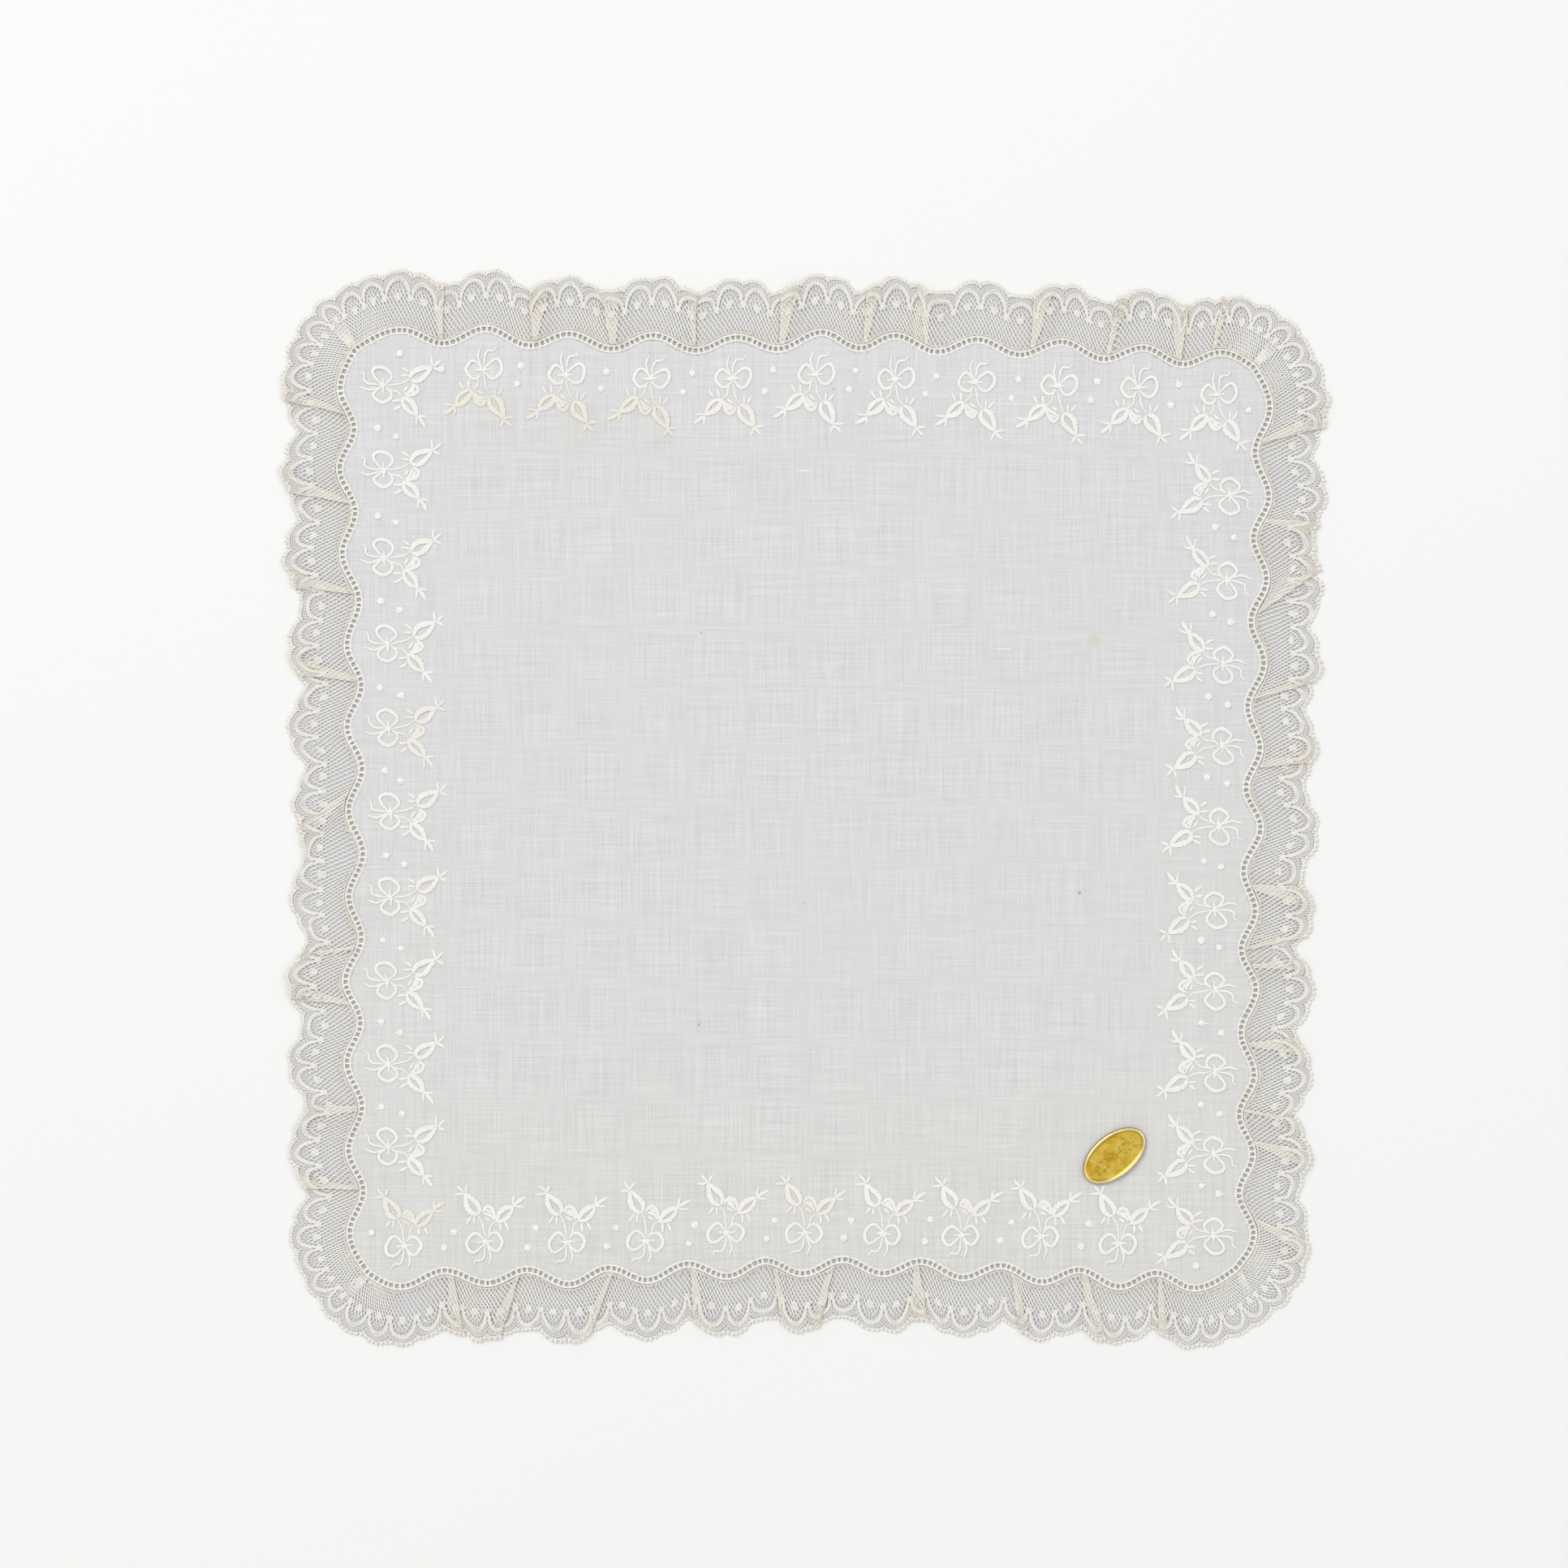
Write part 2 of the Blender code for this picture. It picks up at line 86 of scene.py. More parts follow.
# The beading's centre line, as in the part's source: for each side its first notch, how far along
# it each crest stands, and how far out
Side = namedtuple("Side", "notch crests reach")
SIDES = {
    "top": Side(
        notch=(-127.3, 129.2),
        crests=(13.1, 36.9, 60.5, 84.3, 108.1, 132.1, 152.8, 176.1, 199.9, 223.1, 245.0),
        reach=(5.6, 6.5, 5.4, 5.5, 5.4, 7.3, 6.7, 6.1, 5.9, 4.7, 3.8),
    ),
    "right": Side(
        notch=(126.8, 124.2),
        crests=(11.8, 36.9, 60.2, 84.1, 108.2, 130.7, 154.3, 176.4, 200.7, 223.2, 245.8),
        reach=(5.0, 5.2, 5.0, 4.7, 4.1, 4.7, 3.6, 4.2, 4.2, 4.2, 4.9),
    ),
    "bottom": Side(
        notch=(121.9, -131.3),
        crests=(11.8, 32.9, 54.8, 77.3, 99.8, 122.6, 144.0, 166.8, 188.9, 211.9, 236.5),
        reach=(5.4, 4.9, 3.4, 2.1, 0.8, 0.7, 1.3, 2.3, 3.4, 2.9, 3.7),
    ),
    "left": Side(
        notch=(-123.6, -132.7),
        crests=(11.6, 34.9, 59.6, 82.9, 106.6, 131.2, 154.9, 177.9, 203.9, 228.0, 250.4),
        reach=(5.2, 5.2, 5.3, 5.4, 4.1, 3.8, 3.9, 3.6, 4.6, 5.0, 4.5),
    ),
}

# The pleats, as in the part's source: along its side, fold edge at the rim and at the footing, lap
# at the rim, which layer is on top, how far the rim is drawn in, and the next scallop valley
Pleat = namedtuple("Pleat", "tip root lap top dip scallop")
PLEATS = {
    "top": (
        (24.4, 24.6, 4.3, "before", 1.0, 28.8), (48.8, 50.0, 6.5, "after", 2.5, 56.5),
        (68.4, 72.1, 6.5, "after", 4.0, 75.8), (96.4, 96.2, 3.2, "before", 1.0, 101.6),
        (120.4, 120.0, 6.3, "after", 1.5, 133.6), (144.4, 143.8, 5.3, "after", 2.0, 148.8),
        (158.3, 161.3, 3.5, "after", 1.5, 161.5), (192.1, 191.2, 6.3, "after", 2.5, 192.4),
        (216.0, 212.6, 4.2, "after", 3.5, 218.5), (235.7, 233.8, 6.0, "before", 1.0, 243.0),
        (245.4, 242.7, 3.1, "after", 2.5, 247.1),
    ),
    "right": (
        (16.5, 21.4, 6.0, "before", 2.5, 25.8), (43.9, 43.2, 4.0, "after", 2.0, 53.2),
        (56.0, 69.5, 5.0, "before", 4.0, 73.3), (88.0, 94.0, 3.5, "before", 4.0, 96.3),
        (111.5, 113.4, 4.7, "before", 4.5, 116.4), (147.0, 146.7, 7.5, "after", 2.5, 155.2),
        (161.4, 165.0, 2.5, "before", 2.0, 163.8), (167.0, 169.4, 4.0, "after", 1.0, 172.2),
        (190.0, 191.4, 5.3, "after", 2.5, 198.0), (212.6, 210.4, 3.0, "after", 2.5, 218.0),
        (221.9, 219.4, 5.5, "after", 1.0, 228.6), (248.0, 241.5, 5.0, "after", 4.0, 254.0),
    ),
    "bottom": (
        (21.6, 21.9, 3.5, "before", 1.5, 23.7), (36.0, 42.0, 6.0, "after", 2.5, 43.5),
        (61.0, 63.3, 3.5, "before", 3.5, 65.2), (87.2, 89.7, 6.0, "after", 1.5, 92.1),
        (118.3, 113.9, 4.6, "after", 4.5, 121.0), (128.8, 130.6, 3.2, "before", 3.0, 137.0),
        (153.4, 154.1, 4.6, "before", 2.0, 162.4), (183.5, 176.5, 4.2, "after", 5.0, 189.6),
        (208.6, 203.2, 4.8, "after", 4.0, 212.0), (218.5, 221.5, 5.5, "after", 1.5, 224.6),
    ),
    "left": (
        (24.4, 23.9, 3.9, "after", 1.0, 30.4), (47.8, 47.4, 4.8, "before", 2.0, 51.3),
        (78.2, 76.3, 5.3, "after", 2.0, 81.5), (90.9, 92.7, 2.6, "before", 3.0, 101.3),
        (125.8, 136.5, 5.5, "before", 5.5, 144.5), (170.0, 167.9, 6.5, "after", 1.5, 177.8),
        (194.8, 192.6, 5.5, "after", 1.5, 205.8), (222.0, 218.3, 6.0, "after", 2.5, 231.2),
        (248.2, 243.6, 4.6, "after", 2.5, 258.3),
    ),
}


def smooth(t):
    """An even start and stop between 0 and 1."""
    return t * t * (3 - 2 * t)


def read_line(at, marks, line, period=None):
    """Points of a line at places along it, where its own points have the places marks."""
    return np.stack([np.interp(at, marks, line[:, k], period=period) for k in (0, 1)], axis=-1)


def closed_measure(line):
    """The place of each point along a closed line, and the line's whole length."""
    step = np.linalg.norm(np.roll(line, -1, axis=0) - line, axis=1)
    return np.concatenate([[0], np.cumsum(step)[:-1]]), float(step.sum())


def fill(value, shape):
    """A number or an array of them, repeated to a shape."""
    return np.broadcast_to(np.asarray(value, float), shape)


def lifted(flat, high):
    """Flat places, (..., 2), as points at a height."""
    return np.concatenate([flat, fill(high, flat.shape[:-1])[..., None]], axis=-1)


def rotation(turn):
    """The matrix of a turn in the plane."""
    cos, sin = math.cos(turn), math.sin(turn)
    return np.array([[cos, -sin], [sin, cos]])


def side_frames():
    """Each side's name, first notch, direction, outward direction and length."""
    names = list(SIDES)
    notches = [np.array(SIDES[name].notch) for name in names]
    for i, name in enumerate(names):
        start, end = notches[i], notches[(i + 1) % len(names)]
        length = float(np.linalg.norm(end - start))
        along = (end - start) / length
        yield name, start, along, np.array([-along[1], along[0]]), length


def lobe_rule(side, length, steps):
    """Points of one side as (distance along, distance out, nearness to a corner notch)."""
    crests, reach = side.crests, side.reach
    half = steps // 2 + 1
    for k in range(half):
        t = k / half
        yield crests[0] * t, reach[0] * math.sin(math.pi / 2 * t), 1 - t
    for i in range(len(crests) - 1):
        for k in range(steps):
            u = k / steps
            out = reach[i] + (reach[i + 1] - reach[i]) * smooth(u)
            dip = LOBE_DEPTH * (1 - math.cos(2 * math.pi * u)) / 2
            yield crests[i] + (crests[i + 1] - crests[i]) * u, out - dip, 0.0
    for k in range(half):
        t = 1 - k / half
        place = length - (length - crests[-1]) * t
        yield place, reach[-1] * math.sin(math.pi / 2 * t), 1 - t


def centre_line(steps):
    """The beading's centre line: points, outward normals, and the way that the lace lies from it."""
    points, square_out, corner = [], [], []
    for name, start, along, out, length in side_frames():
        for s, r, near in lobe_rule(SIDES[name], length, steps):
            points.append(start + along * s + out * r)
            square_out.append(out)
            corner.append(near)
    points, square_out, corner = map(np.array, (points, square_out, corner))
    tangent = np.roll(points, -1, axis=0) - np.roll(points, 1, axis=0)
    tangent /= np.linalg.norm(tangent, axis=1)[:, None]
    normal = np.stack([-tangent[:, 1], tangent[:, 0]], axis=1)
    share = (LACE_FAN + (1 - LACE_FAN) * smooth(corner))[:, None]
    lie = square_out * (1 - share) + normal * share
    return points, normal, lie / np.linalg.norm(lie, axis=1)[:, None]


class Guide:
    """The lace's footing and rim over one measure: the length around the rim."""

    def __init__(self):
        points, normal, lie = centre_line(STEPS_PER_LOBE)
        self.foot = points + normal * (BEADING_WIDTH / 2 + GAP)
        self.rim = points + lie * LACE_REACH
        self.around, self.length = closed_measure(self.rim)
        per_side = len(points) // len(SIDES)
        self.sides = {}
        for i, (name, start, along, _, _) in enumerate(side_frames()):
            self.sides[name] = (slice(i * per_side, (i + 1) * per_side), start, along)

    def measure(self, side, along_mm, line):
        """The place around the lace of a distance along a side, read on the rim or the footing."""
        rows, start, along = self.sides[side]
        return float(np.interp(along_mm, (line[rows] - start) @ along, self.around[rows]))

    def on(self, line, around):
        """Points of a line at places around the lace."""
        return read_line(around, self.around, line, self.length)

    def scale(self, line, around):
        """How far a step of 1 around the lace goes on a line there."""
        return float(np.linalg.norm(self.on(line, around + 0.5) - self.on(line, around - 0.5)))


class Fold:
    """One pleat, with its places measured around the lace."""

    def __init__(self, guide, side, row):
        self.sign = 1 if row.top == "before" else -1
        self.dip = row.dip
        rim, foot = guide.measure(side, row.tip, guide.rim), guide.measure(side, row.root, guide.foot)
        self.scallop = guide.measure(side, row.scallop, guide.rim)
        self.scale = {"rim": guide.scale(guide.rim, rim), "foot": guide.scale(guide.foot, foot)}
        lap = {"rim": row.lap, "foot": max(row.lap * ROOT_LAP, 3 * FOLD_RADIUS)}
        self.lap = {end: lap[end] / self.scale[end] for end in lap}
        self.place = {"rim": rim, "foot": foot}

    def section(self):
        """Rows of the pleat's own turns in order: rim, footing, height, share of the dip."""
        turn = np.linspace(0, math.pi, 6)
        over = [(math.sin(t), 0, 3 + math.cos(t)) for t in turn]
        under = [(-math.sin(t), 1, 1 + math.cos(t)) for t in turn]
        rows = []
        for across, deep, height in over + under:
            spot = {}
            for end in ("rim", "foot"):
                radius = FOLD_RADIUS / self.scale[end]
                hidden = self.lap[end] - 2 * radius
                spot[end] = self.place[end] + self.sign * ((across - 1) * radius - deep * hidden)
            pull = self.dip * (1 if deep else DIP_ABOVE)
            # The pleat's own turns take the full painted shade, 1.0, of the stacked layers.
            rows.append((spot["rim"], spot["foot"], height * FOLD_RADIUS, height * FOLD_RADIUS, pull, 1.0))
        return rows if self.sign > 0 else rows[::-1]


def height_marks(fold, after, end, lap_round):
    """Where the single layer between two pleats bends, around the lace, with its height there."""
    first, last = fold.section_end[end], after.section_start[end] + lap_round
    stack = 4 * FOLD_RADIUS
    covers = [
        fold.lap[end] + PLEAT_COVER if fold.sign < 0 else 0.0,
        after.lap[end] + PLEAT_COVER if after.sign > 0 else 0.0,
    ]
    raised = [cover > 0 for cover in covers]
    full = PLEAT_SLOPE / fold.scale[end]
    room = (last - first - sum(covers)) / max(sum(raised), 1)
    slope = min(full, SLOPE_ROOM * room)
    low = stack * (1 - slope / full) if all(raised) else 0.0
    marks = [(first, stack if raised[0] else 0.0)]
    if raised[0]:
        marks += [(first + covers[0], stack), (first + covers[0] + slope, low)]
    if raised[1]:
        marks += [(last - covers[1] - slope, low), (last - covers[1], stack)]
    return marks + [(last, stack if raised[1] else 0.0)]


def stretch_between(fold, after, lap_round):
    """Rows of the single layer between one pleat and the next."""
    rim, foot = (height_marks(fold, after, end, lap_round) for end in ("rim", "foot"))
    rows = []
    for k, (rim_a, high_a) in enumerate(rim[:-1]):
        (rim_b, high_b), (foot_a, low_a), (foot_b, low_b) = rim[k + 1], foot[k], foot[k + 1]
        parts = max(2, math.ceil(rim_b - rim_a))
        for part in range(parts):
            t = part / parts
            around, up = rim_a + (rim_b - rim_a) * t, smooth(t)
            pull = lap_shade = 0.0
            for pleat, beneath, away in (
                (fold, fold.sign > 0, around - rim[0][0]),
                (after, after.sign < 0, rim[-1][0] - around),
            ):
                depth, reach = (pleat.dip, DIP_REACH) if beneath else (pleat.dip * DIP_ABOVE, DIP_REACH / 2)
                pull += depth * math.exp(-away / reach)
                # Painted shade: the stacked layers of a lap and the lace beside it are tinted darker and
                # warmer, fading with distance.
                lap_shade = max(lap_shade, math.exp(-max(away - pleat.lap["rim"], 0.0) / LAP_SHADE_REACH))
            rows.append((around, foot_a + (foot_b - foot_a) * t, high_a + (high_b - high_a) * up,
                         low_a + (low_b - low_a) * up, pull, lap_shade))
    return rows[1:]


class Lace:
    """Where each place of the flat lace lies, once it is gathered and pleated."""

    def __init__(self):
        guide = self.guide = Guide()
        folds = [Fold(guide, side, Pleat(*row)) for side in PLEATS for row in PLEATS[side]]
        for fold in folds:
            section = fold.section()
            fold.section_start = {"rim": section[0][0], "foot": section[0][1]}
            fold.section_end = {"rim": section[-1][0], "foot": section[-1][1]}
        rows, spans = [], []
        for i, fold in enumerate(folds):
            last = i == len(folds) - 1
            spans.append((len(rows), len(rows) + len(fold.section()) - 1))
            rows += fold.section()
            rows += stretch_between(fold, folds[0 if last else i + 1], guide.length if last else 0.0)
        again = (rows[0][0] + guide.length, rows[0][1] + guide.length, *rows[0][2:])
        table = np.array(rows + [again])
        self.columns, self.index = table.T, np.arange(len(table))
        self.rim_at, self.foot_at, rim_high = self.columns[:3]
        step = np.hypot(np.diff(self.rim_at), np.diff(rim_high))
        self.rim_along = np.concatenate([[0], np.cumsum(step)])
        self.total = float(self.rim_along[-1])
        self.foot_along = self.rim_along + self.foot_at - self.rim_at
        for a, b in spans:
            share = (self.rim_along[a:b + 1] - self.rim_along[a]) / (self.rim_along[b] - self.rim_along[a])
            self.foot_along[a:b + 1] = self.foot_along[a] + (self.foot_along[b] - self.foot_along[a]) * share
        self.count_scallops(folds, spans)

    def count_scallops(self, folds, spans):
        """Scallops along the lace, with the slip between two pleats' patterns hidden in the laps."""
        zones = []
        for fold, (a, b) in zip(folds, spans):
            hidden = fold.lap["rim"] - 2 * FOLD_RADIUS
            start = self.rim_along[a] - (hidden if fold.sign < 0 else 0.0)
            end = self.rim_along[b] + (hidden if fold.sign > 0 else 0.0)
            valley = self.rim_along[b] + fold.scallop - self.rim_at[b]
            zones.append((start, end, (end - valley) / SCALLOP))
        first_end, first_phase = zones[0][1], zones[0][2]
        marks = [(first_end, first_phase)]
        again = (zones[0][0] + self.total, first_end + self.total, first_phase)
        for start, end, phase in zones[1:] + [again]:
            begin = marks[-1][1] + (start - marks[-1][0]) / SCALLOP
            whole = round(begin + (end - start) / SCALLOP - phase)
            marks += [(start, begin), (end, phase + whole)]
        self.scallops = round(marks[-1][1] - first_phase)
        self.mark_along, self.mark_phase = (np.array(column) for column in zip(*marks))

    def lay(self, phase, depth):
        """Points of places on the flat lace, and their share of the painted shade that darkens and warms the
        lace in and near the pleats' laps.
        """
        shape = np.shape(phase)
        phase, depth = np.ravel(phase), np.ravel(depth)
        turns = np.floor((phase - self.mark_phase[0]) / self.scallops)
        along = np.interp(phase - turns * self.scallops, self.mark_phase, self.mark_along)
        along = along + turns * self.total
        share = 1 - depth / LACE_DEEP
        level = np.round(share * LEVELS).astype(int)
        row = np.empty(len(along))
        order = np.argsort(level, kind="stable")
        for group in np.split(order, np.flatnonzero(np.diff(level[order])) + 1):
            w = level[group[0]] / LEVELS
            marks = self.foot_along + (self.rim_along - self.foot_along) * w
            row[group] = np.interp((along[group] - marks[0]) % self.total + marks[0], marks, self.index)
        rim_at, foot_at, rim_high, foot_high, pull, lap_shade = (
            np.interp(row, self.index, column) for column in self.columns
        )
        foot, rim = self.guide.on(self.guide.foot, foot_at), self.guide.on(self.guide.rim, rim_at)
        reach = rim - foot
        length = np.linalg.norm(reach, axis=1)
        flat = foot + reach * (share * (1 - pull / length))[:, None]
        flat = flat + uneven(flat[:, 0], flat[:, 1]) * np.clip(share, 0, 1)[:, None]
        high = LACE_LOW + foot_high + (rim_high - foot_high) * np.clip(share, 0, 1)
        high = high + ripple(flat[:, 0], flat[:, 1]) * np.clip(share, 0, 1)
        points = np.column_stack([flat, high])
        return points.reshape(*shape, 3), lap_shade.reshape(shape)


def uneven(x, y):
    """How the lace is pulled a little out of its regular shape."""
    shift = [np.sin(x / 2.3 + 2 * np.sin(y / 3.7)), np.sin(y / 2.1 + 2 * np.sin(x / 4.1))]
    return LACE_UNEVEN * np.column_stack(shift)


def ripple(x, y):
    """The slight unevenness of cloth that was pressed and lies loose."""
    return 0.09 * np.sin(x / 5.1 + np.sin(y / 7.3)) + 0.08 * np.sin(y / 4.3 + 1.7 * np.sin(x / 9.1))


def add_object(name, data):
    """A new object in the scene."""
    made = bpy.data.objects.new(name, data)
    bpy.context.scene.collection.objects.link(made)
    return made


class Mesh:
    """Points and faces of one piece, and two values at each point for its material."""

    def __init__(self):
        self.points, self.tint, self.along, self.faces, self.count = [], [], [], {}, 0

    def add(self, points, faces, tint=0.0, along=0.0):
        """Adds points, (n, 3) in mm, and arrays of faces with the same number of corners."""
        for block in faces:
            self.faces.setdefault(block.shape[1], []).append(block + self.count)
        self.points.append(points)
        self.tint.append(fill(tint, len(points)))
        self.along.append(fill(along, len(points)))
        self.count += len(points)

    def build(self, name, finish, slot, smooth_faces=True):
        """The piece as an object that rides on the root body."""
        blocks = [np.concatenate(self.faces[size]) for size in sorted(self.faces)]
        sizes = np.concatenate([np.full(len(block), block.shape[1]) for block in blocks])
        corners = np.concatenate([block.ravel() for block in blocks])
        mesh = bpy.data.meshes.new(name)
        mesh.vertices.add(self.count)
        mesh.vertices.foreach_set("co", (np.concatenate(self.points) * MM).astype(np.float32).ravel())
        mesh.loops.add(len(corners))
        mesh.loops.foreach_set("vertex_index", corners.astype(np.int32))
        mesh.polygons.add(len(sizes))
        mesh.polygons.foreach_set("loop_start", (np.cumsum(sizes) - sizes).astype(np.int32))
        mesh.polygons.foreach_set("use_smooth", np.full(len(sizes), smooth_faces))
        for label, values in (("tint", self.tint), ("along", self.along)):
            layer = mesh.attributes.new(label, "FLOAT", "POINT")
            layer.data.foreach_set("value", np.concatenate(values).astype(np.float32))
        mesh.update(calc_edges=True)
        mesh.validate()
        mesh.materials.append(finish)
        made = add_object(name, mesh)
        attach(made, "root")
        return made


def unit(vectors):
    """The same vectors, each 1 long."""
    return vectors / np.maximum(np.linalg.norm(vectors, axis=-1), 1e-12)[..., None]


def tubes(out, path, wide, high, sides=3, closed=False, tint=0.0, along=0.0):
    """Closed tubes along many paths at once, (n, k, 3), with half sizes across and up from the cloth."""
    n, k, _ = path.shape
    if closed:
        tangent = np.roll(path, -1, axis=1) - np.roll(path, 1, axis=1)
    else:
        tangent = np.gradient(path, axis=1) if k > 2 else np.repeat(path[:, 1:] - path[:, :1], 2, axis=1)
    tangent = unit(tangent)
    face = fill((0.0, 0.0, 1.0), path.shape).copy()
    steep = np.abs((tangent * face).sum(-1)) > 0.95
    face[steep] = (0.6, 0.8, 0.0)
    across = unit(np.cross(tangent, face))
    up = np.cross(across, tangent)
    wide, high = fill(wide, (n, k)), fill(high, (n, k))
    turn = 2 * math.pi * (np.arange(sides) + (0.75 if sides == 3 else 0.25)) / sides
    ring = (path[:, :, None] + across[:, :, None] * (wide[..., None] * np.cos(turn))[..., None]
            + up[:, :, None] * (high[..., None] * np.sin(turn))[..., None])
    index = np.arange(n * k * sides).reshape(n, k, sides)
    following = np.roll(index, -1, axis=2)
    if closed:
        after, after_following = np.roll(index, -1, axis=1), np.roll(following, -1, axis=1)
        quads = np.stack([index, after, after_following, following], axis=-1)
        faces = [quads.reshape(-1, 4)]
    else:
        quads = np.stack([index[:, :-1], index[:, 1:], following[:, 1:], following[:, :-1]], axis=-1)
        faces = [quads.reshape(-1, 4), index[:, 0], index[:, -1, ::-1]]
    spread = [fill(value, (n, k)) for value in (tint, along)]
    out.add(ring.reshape(-1, 3), faces, *(np.repeat(value.ravel(), sides) for value in spread))


def domes(out, centres, radii, height, steps=10, turn=0.0, tint=0.0):
    """Low closed domes, such as dots, at centres (n, 3) with radii (n, 2)."""
    rings = ((1.0, 0.0), (0.92, 0.6), (0.55, 0.92))
    n = len(centres)
    angle = 2 * math.pi * np.arange(steps) / steps
    radii = fill(radii, (n, 2))
    turn = fill(turn, n)[:, None]
    parts = []
    for share, lift in rings:
        x, y = radii[:, :1] * share * np.cos(angle), radii[:, 1:] * share * np.sin(angle)
        ring = np.stack([x * np.cos(turn) - y * np.sin(turn), x * np.sin(turn) + y * np.cos(turn),
                         np.full_like(x, lift * height)], axis=-1)
        parts.append(centres[:, None] + ring)
    top = centres[:, None] + np.array([0, 0, height])
    points = np.concatenate([*parts, top], axis=1)
    per = points.shape[1]
    base = (np.arange(n) * per)[:, None, None]
    k = np.arange(steps)
    j = (k + 1) % steps
    band = np.stack([k, j, j + steps, k + steps], axis=-1)
    quads = (np.concatenate([band, band + steps])[None] + base).reshape(-1, 4)
    cap = np.stack([k + 2 * steps, j + 2 * steps, np.full(steps, 3 * steps)], axis=-1)
    cap = (cap[None] + base).reshape(-1, 3)
    floor = (k[::-1][None] + base[:, :, 0])
    out.add(points.reshape(-1, 3), [quads, cap, floor], np.repeat(fill(tint, n), per))


# Materials

def nodes_of(name):
    """A new material's node tree and its main shader."""
    made = bpy.data.materials.new(name)
    made.use_nodes = True
    return made, made.node_tree, made.node_tree.nodes["Principled BSDF"]


def feed(tree, socket, value):
    """A link or a plain value for one input socket."""
    if isinstance(value, bpy.types.NodeSocket):
        tree.links.new(value, socket)
    else:
        socket.default_value = value


def node(tree, kind, values=None, **settings):
    """A node with its settings, and values or links for its input sockets."""
    made = tree.nodes.new(kind)
    for key, value in settings.items():
        setattr(made, key, value)
    for key, value in (values or {}).items():
        feed(tree, made.inputs[key], value)
    return made


def noise(tree, stretch, detail):
    """Noise over the object's own coordinates, with its scale along X, Y and Z, in steps a metre."""
    place = node(tree, "ShaderNodeTexCoord").outputs["Object"]
    mapped = node(tree, "ShaderNodeMapping", {"Vector": place, "Scale": stretch})
    values = {"Vector": mapped.outputs["Vector"], "Scale": 1.0, "Detail": detail, "Roughness": 0.6}
    return node(tree, "ShaderNodeTexNoise", values).outputs["Fac"]


def span(tree, value, low, high, out_low=0.0, out_high=1.0):
    """A value taken from one range to another."""
    values = {"Value": value, "From Min": low, "From Max": high, "To Min": out_low, "To Max": out_high}
    return node(tree, "ShaderNodeMapRange", values).outputs["Result"]


def mixed(tree, share, a, b, way="MIX"):
    """Two colours mixed by a share."""
    made = node(tree, "ShaderNodeMix", data_type="RGBA", blend_type=way)
    for socket, value in (("Factor_Float", share), ("A_Color", a), ("B_Color", b)):
        feed(tree, next(s for s in made.inputs if s.identifier == socket), value)
    return next(s for s in made.outputs if s.identifier == "Result_Color")


def maths(tree, way, a, b):
    """One sum on two values."""
    return node(tree, "ShaderNodeMath", {0: a, 1: b}, operation=way).outputs[0]


def attribute(tree, name):
    """A value kept on the mesh's points."""
    return node(tree, "ShaderNodeAttribute", attribute_name=name).outputs["Fac"]


def set_values(shader, values):
    """Plain values on the shader's own sockets."""
    for name, value in values.items():
        shader.inputs[name].default_value = value


def press(tree, shader, height, strength, distance):
    """Bump from a height."""
    bump = node(tree, "ShaderNodeBump", {"Height": height, "Strength": strength, "Distance": distance})
    tree.links.new(bump.outputs["Normal"], shader.inputs["Normal"])


def thread_material(name, pale, aged_and_shaded, stitch=0.0):
    """Cotton thread: pale and aged tones by the tint, where on the lace the tint also carries painted shade
    near the pleats' laps, with fine bump and, on a cord, its twist.
    """
    made, tree, shader = nodes_of(name)
    tint = attribute(tree, "tint")
    cloudy = noise(tree, (90, 90, 90), 2.0)
    share = maths(tree, "ADD", tint, span(tree, cloudy, 0.45, 0.75, 0.0, 0.35))
    colour = mixed(tree, share, (*pale, 1), (*aged_and_shaded, 1))
    fine = noise(tree, (2600, 2600, 2600), 2.0)
    shade = (*(0.82 * c for c in pale), 1)
    colour = mixed(tree, span(tree, fine, 0.3, 0.7, 0.0, 0.16), colour, shade, "MULTIPLY")
    tree.links.new(colour, shader.inputs["Base Color"])
    height = fine
    if stitch:
        along = attribute(tree, "along")
        height = maths(tree, "SINE", maths(tree, "MULTIPLY", along, 2 * math.pi / stitch), 0.0)
        height = maths(tree, "ADD", height, fine)
    press(tree, shader, height, 0.4, 0.00005)
    set_values(shader, {"Roughness": 0.85, "Specular IOR Level": 0.2, "Sheen Weight": 0.15})
    return made


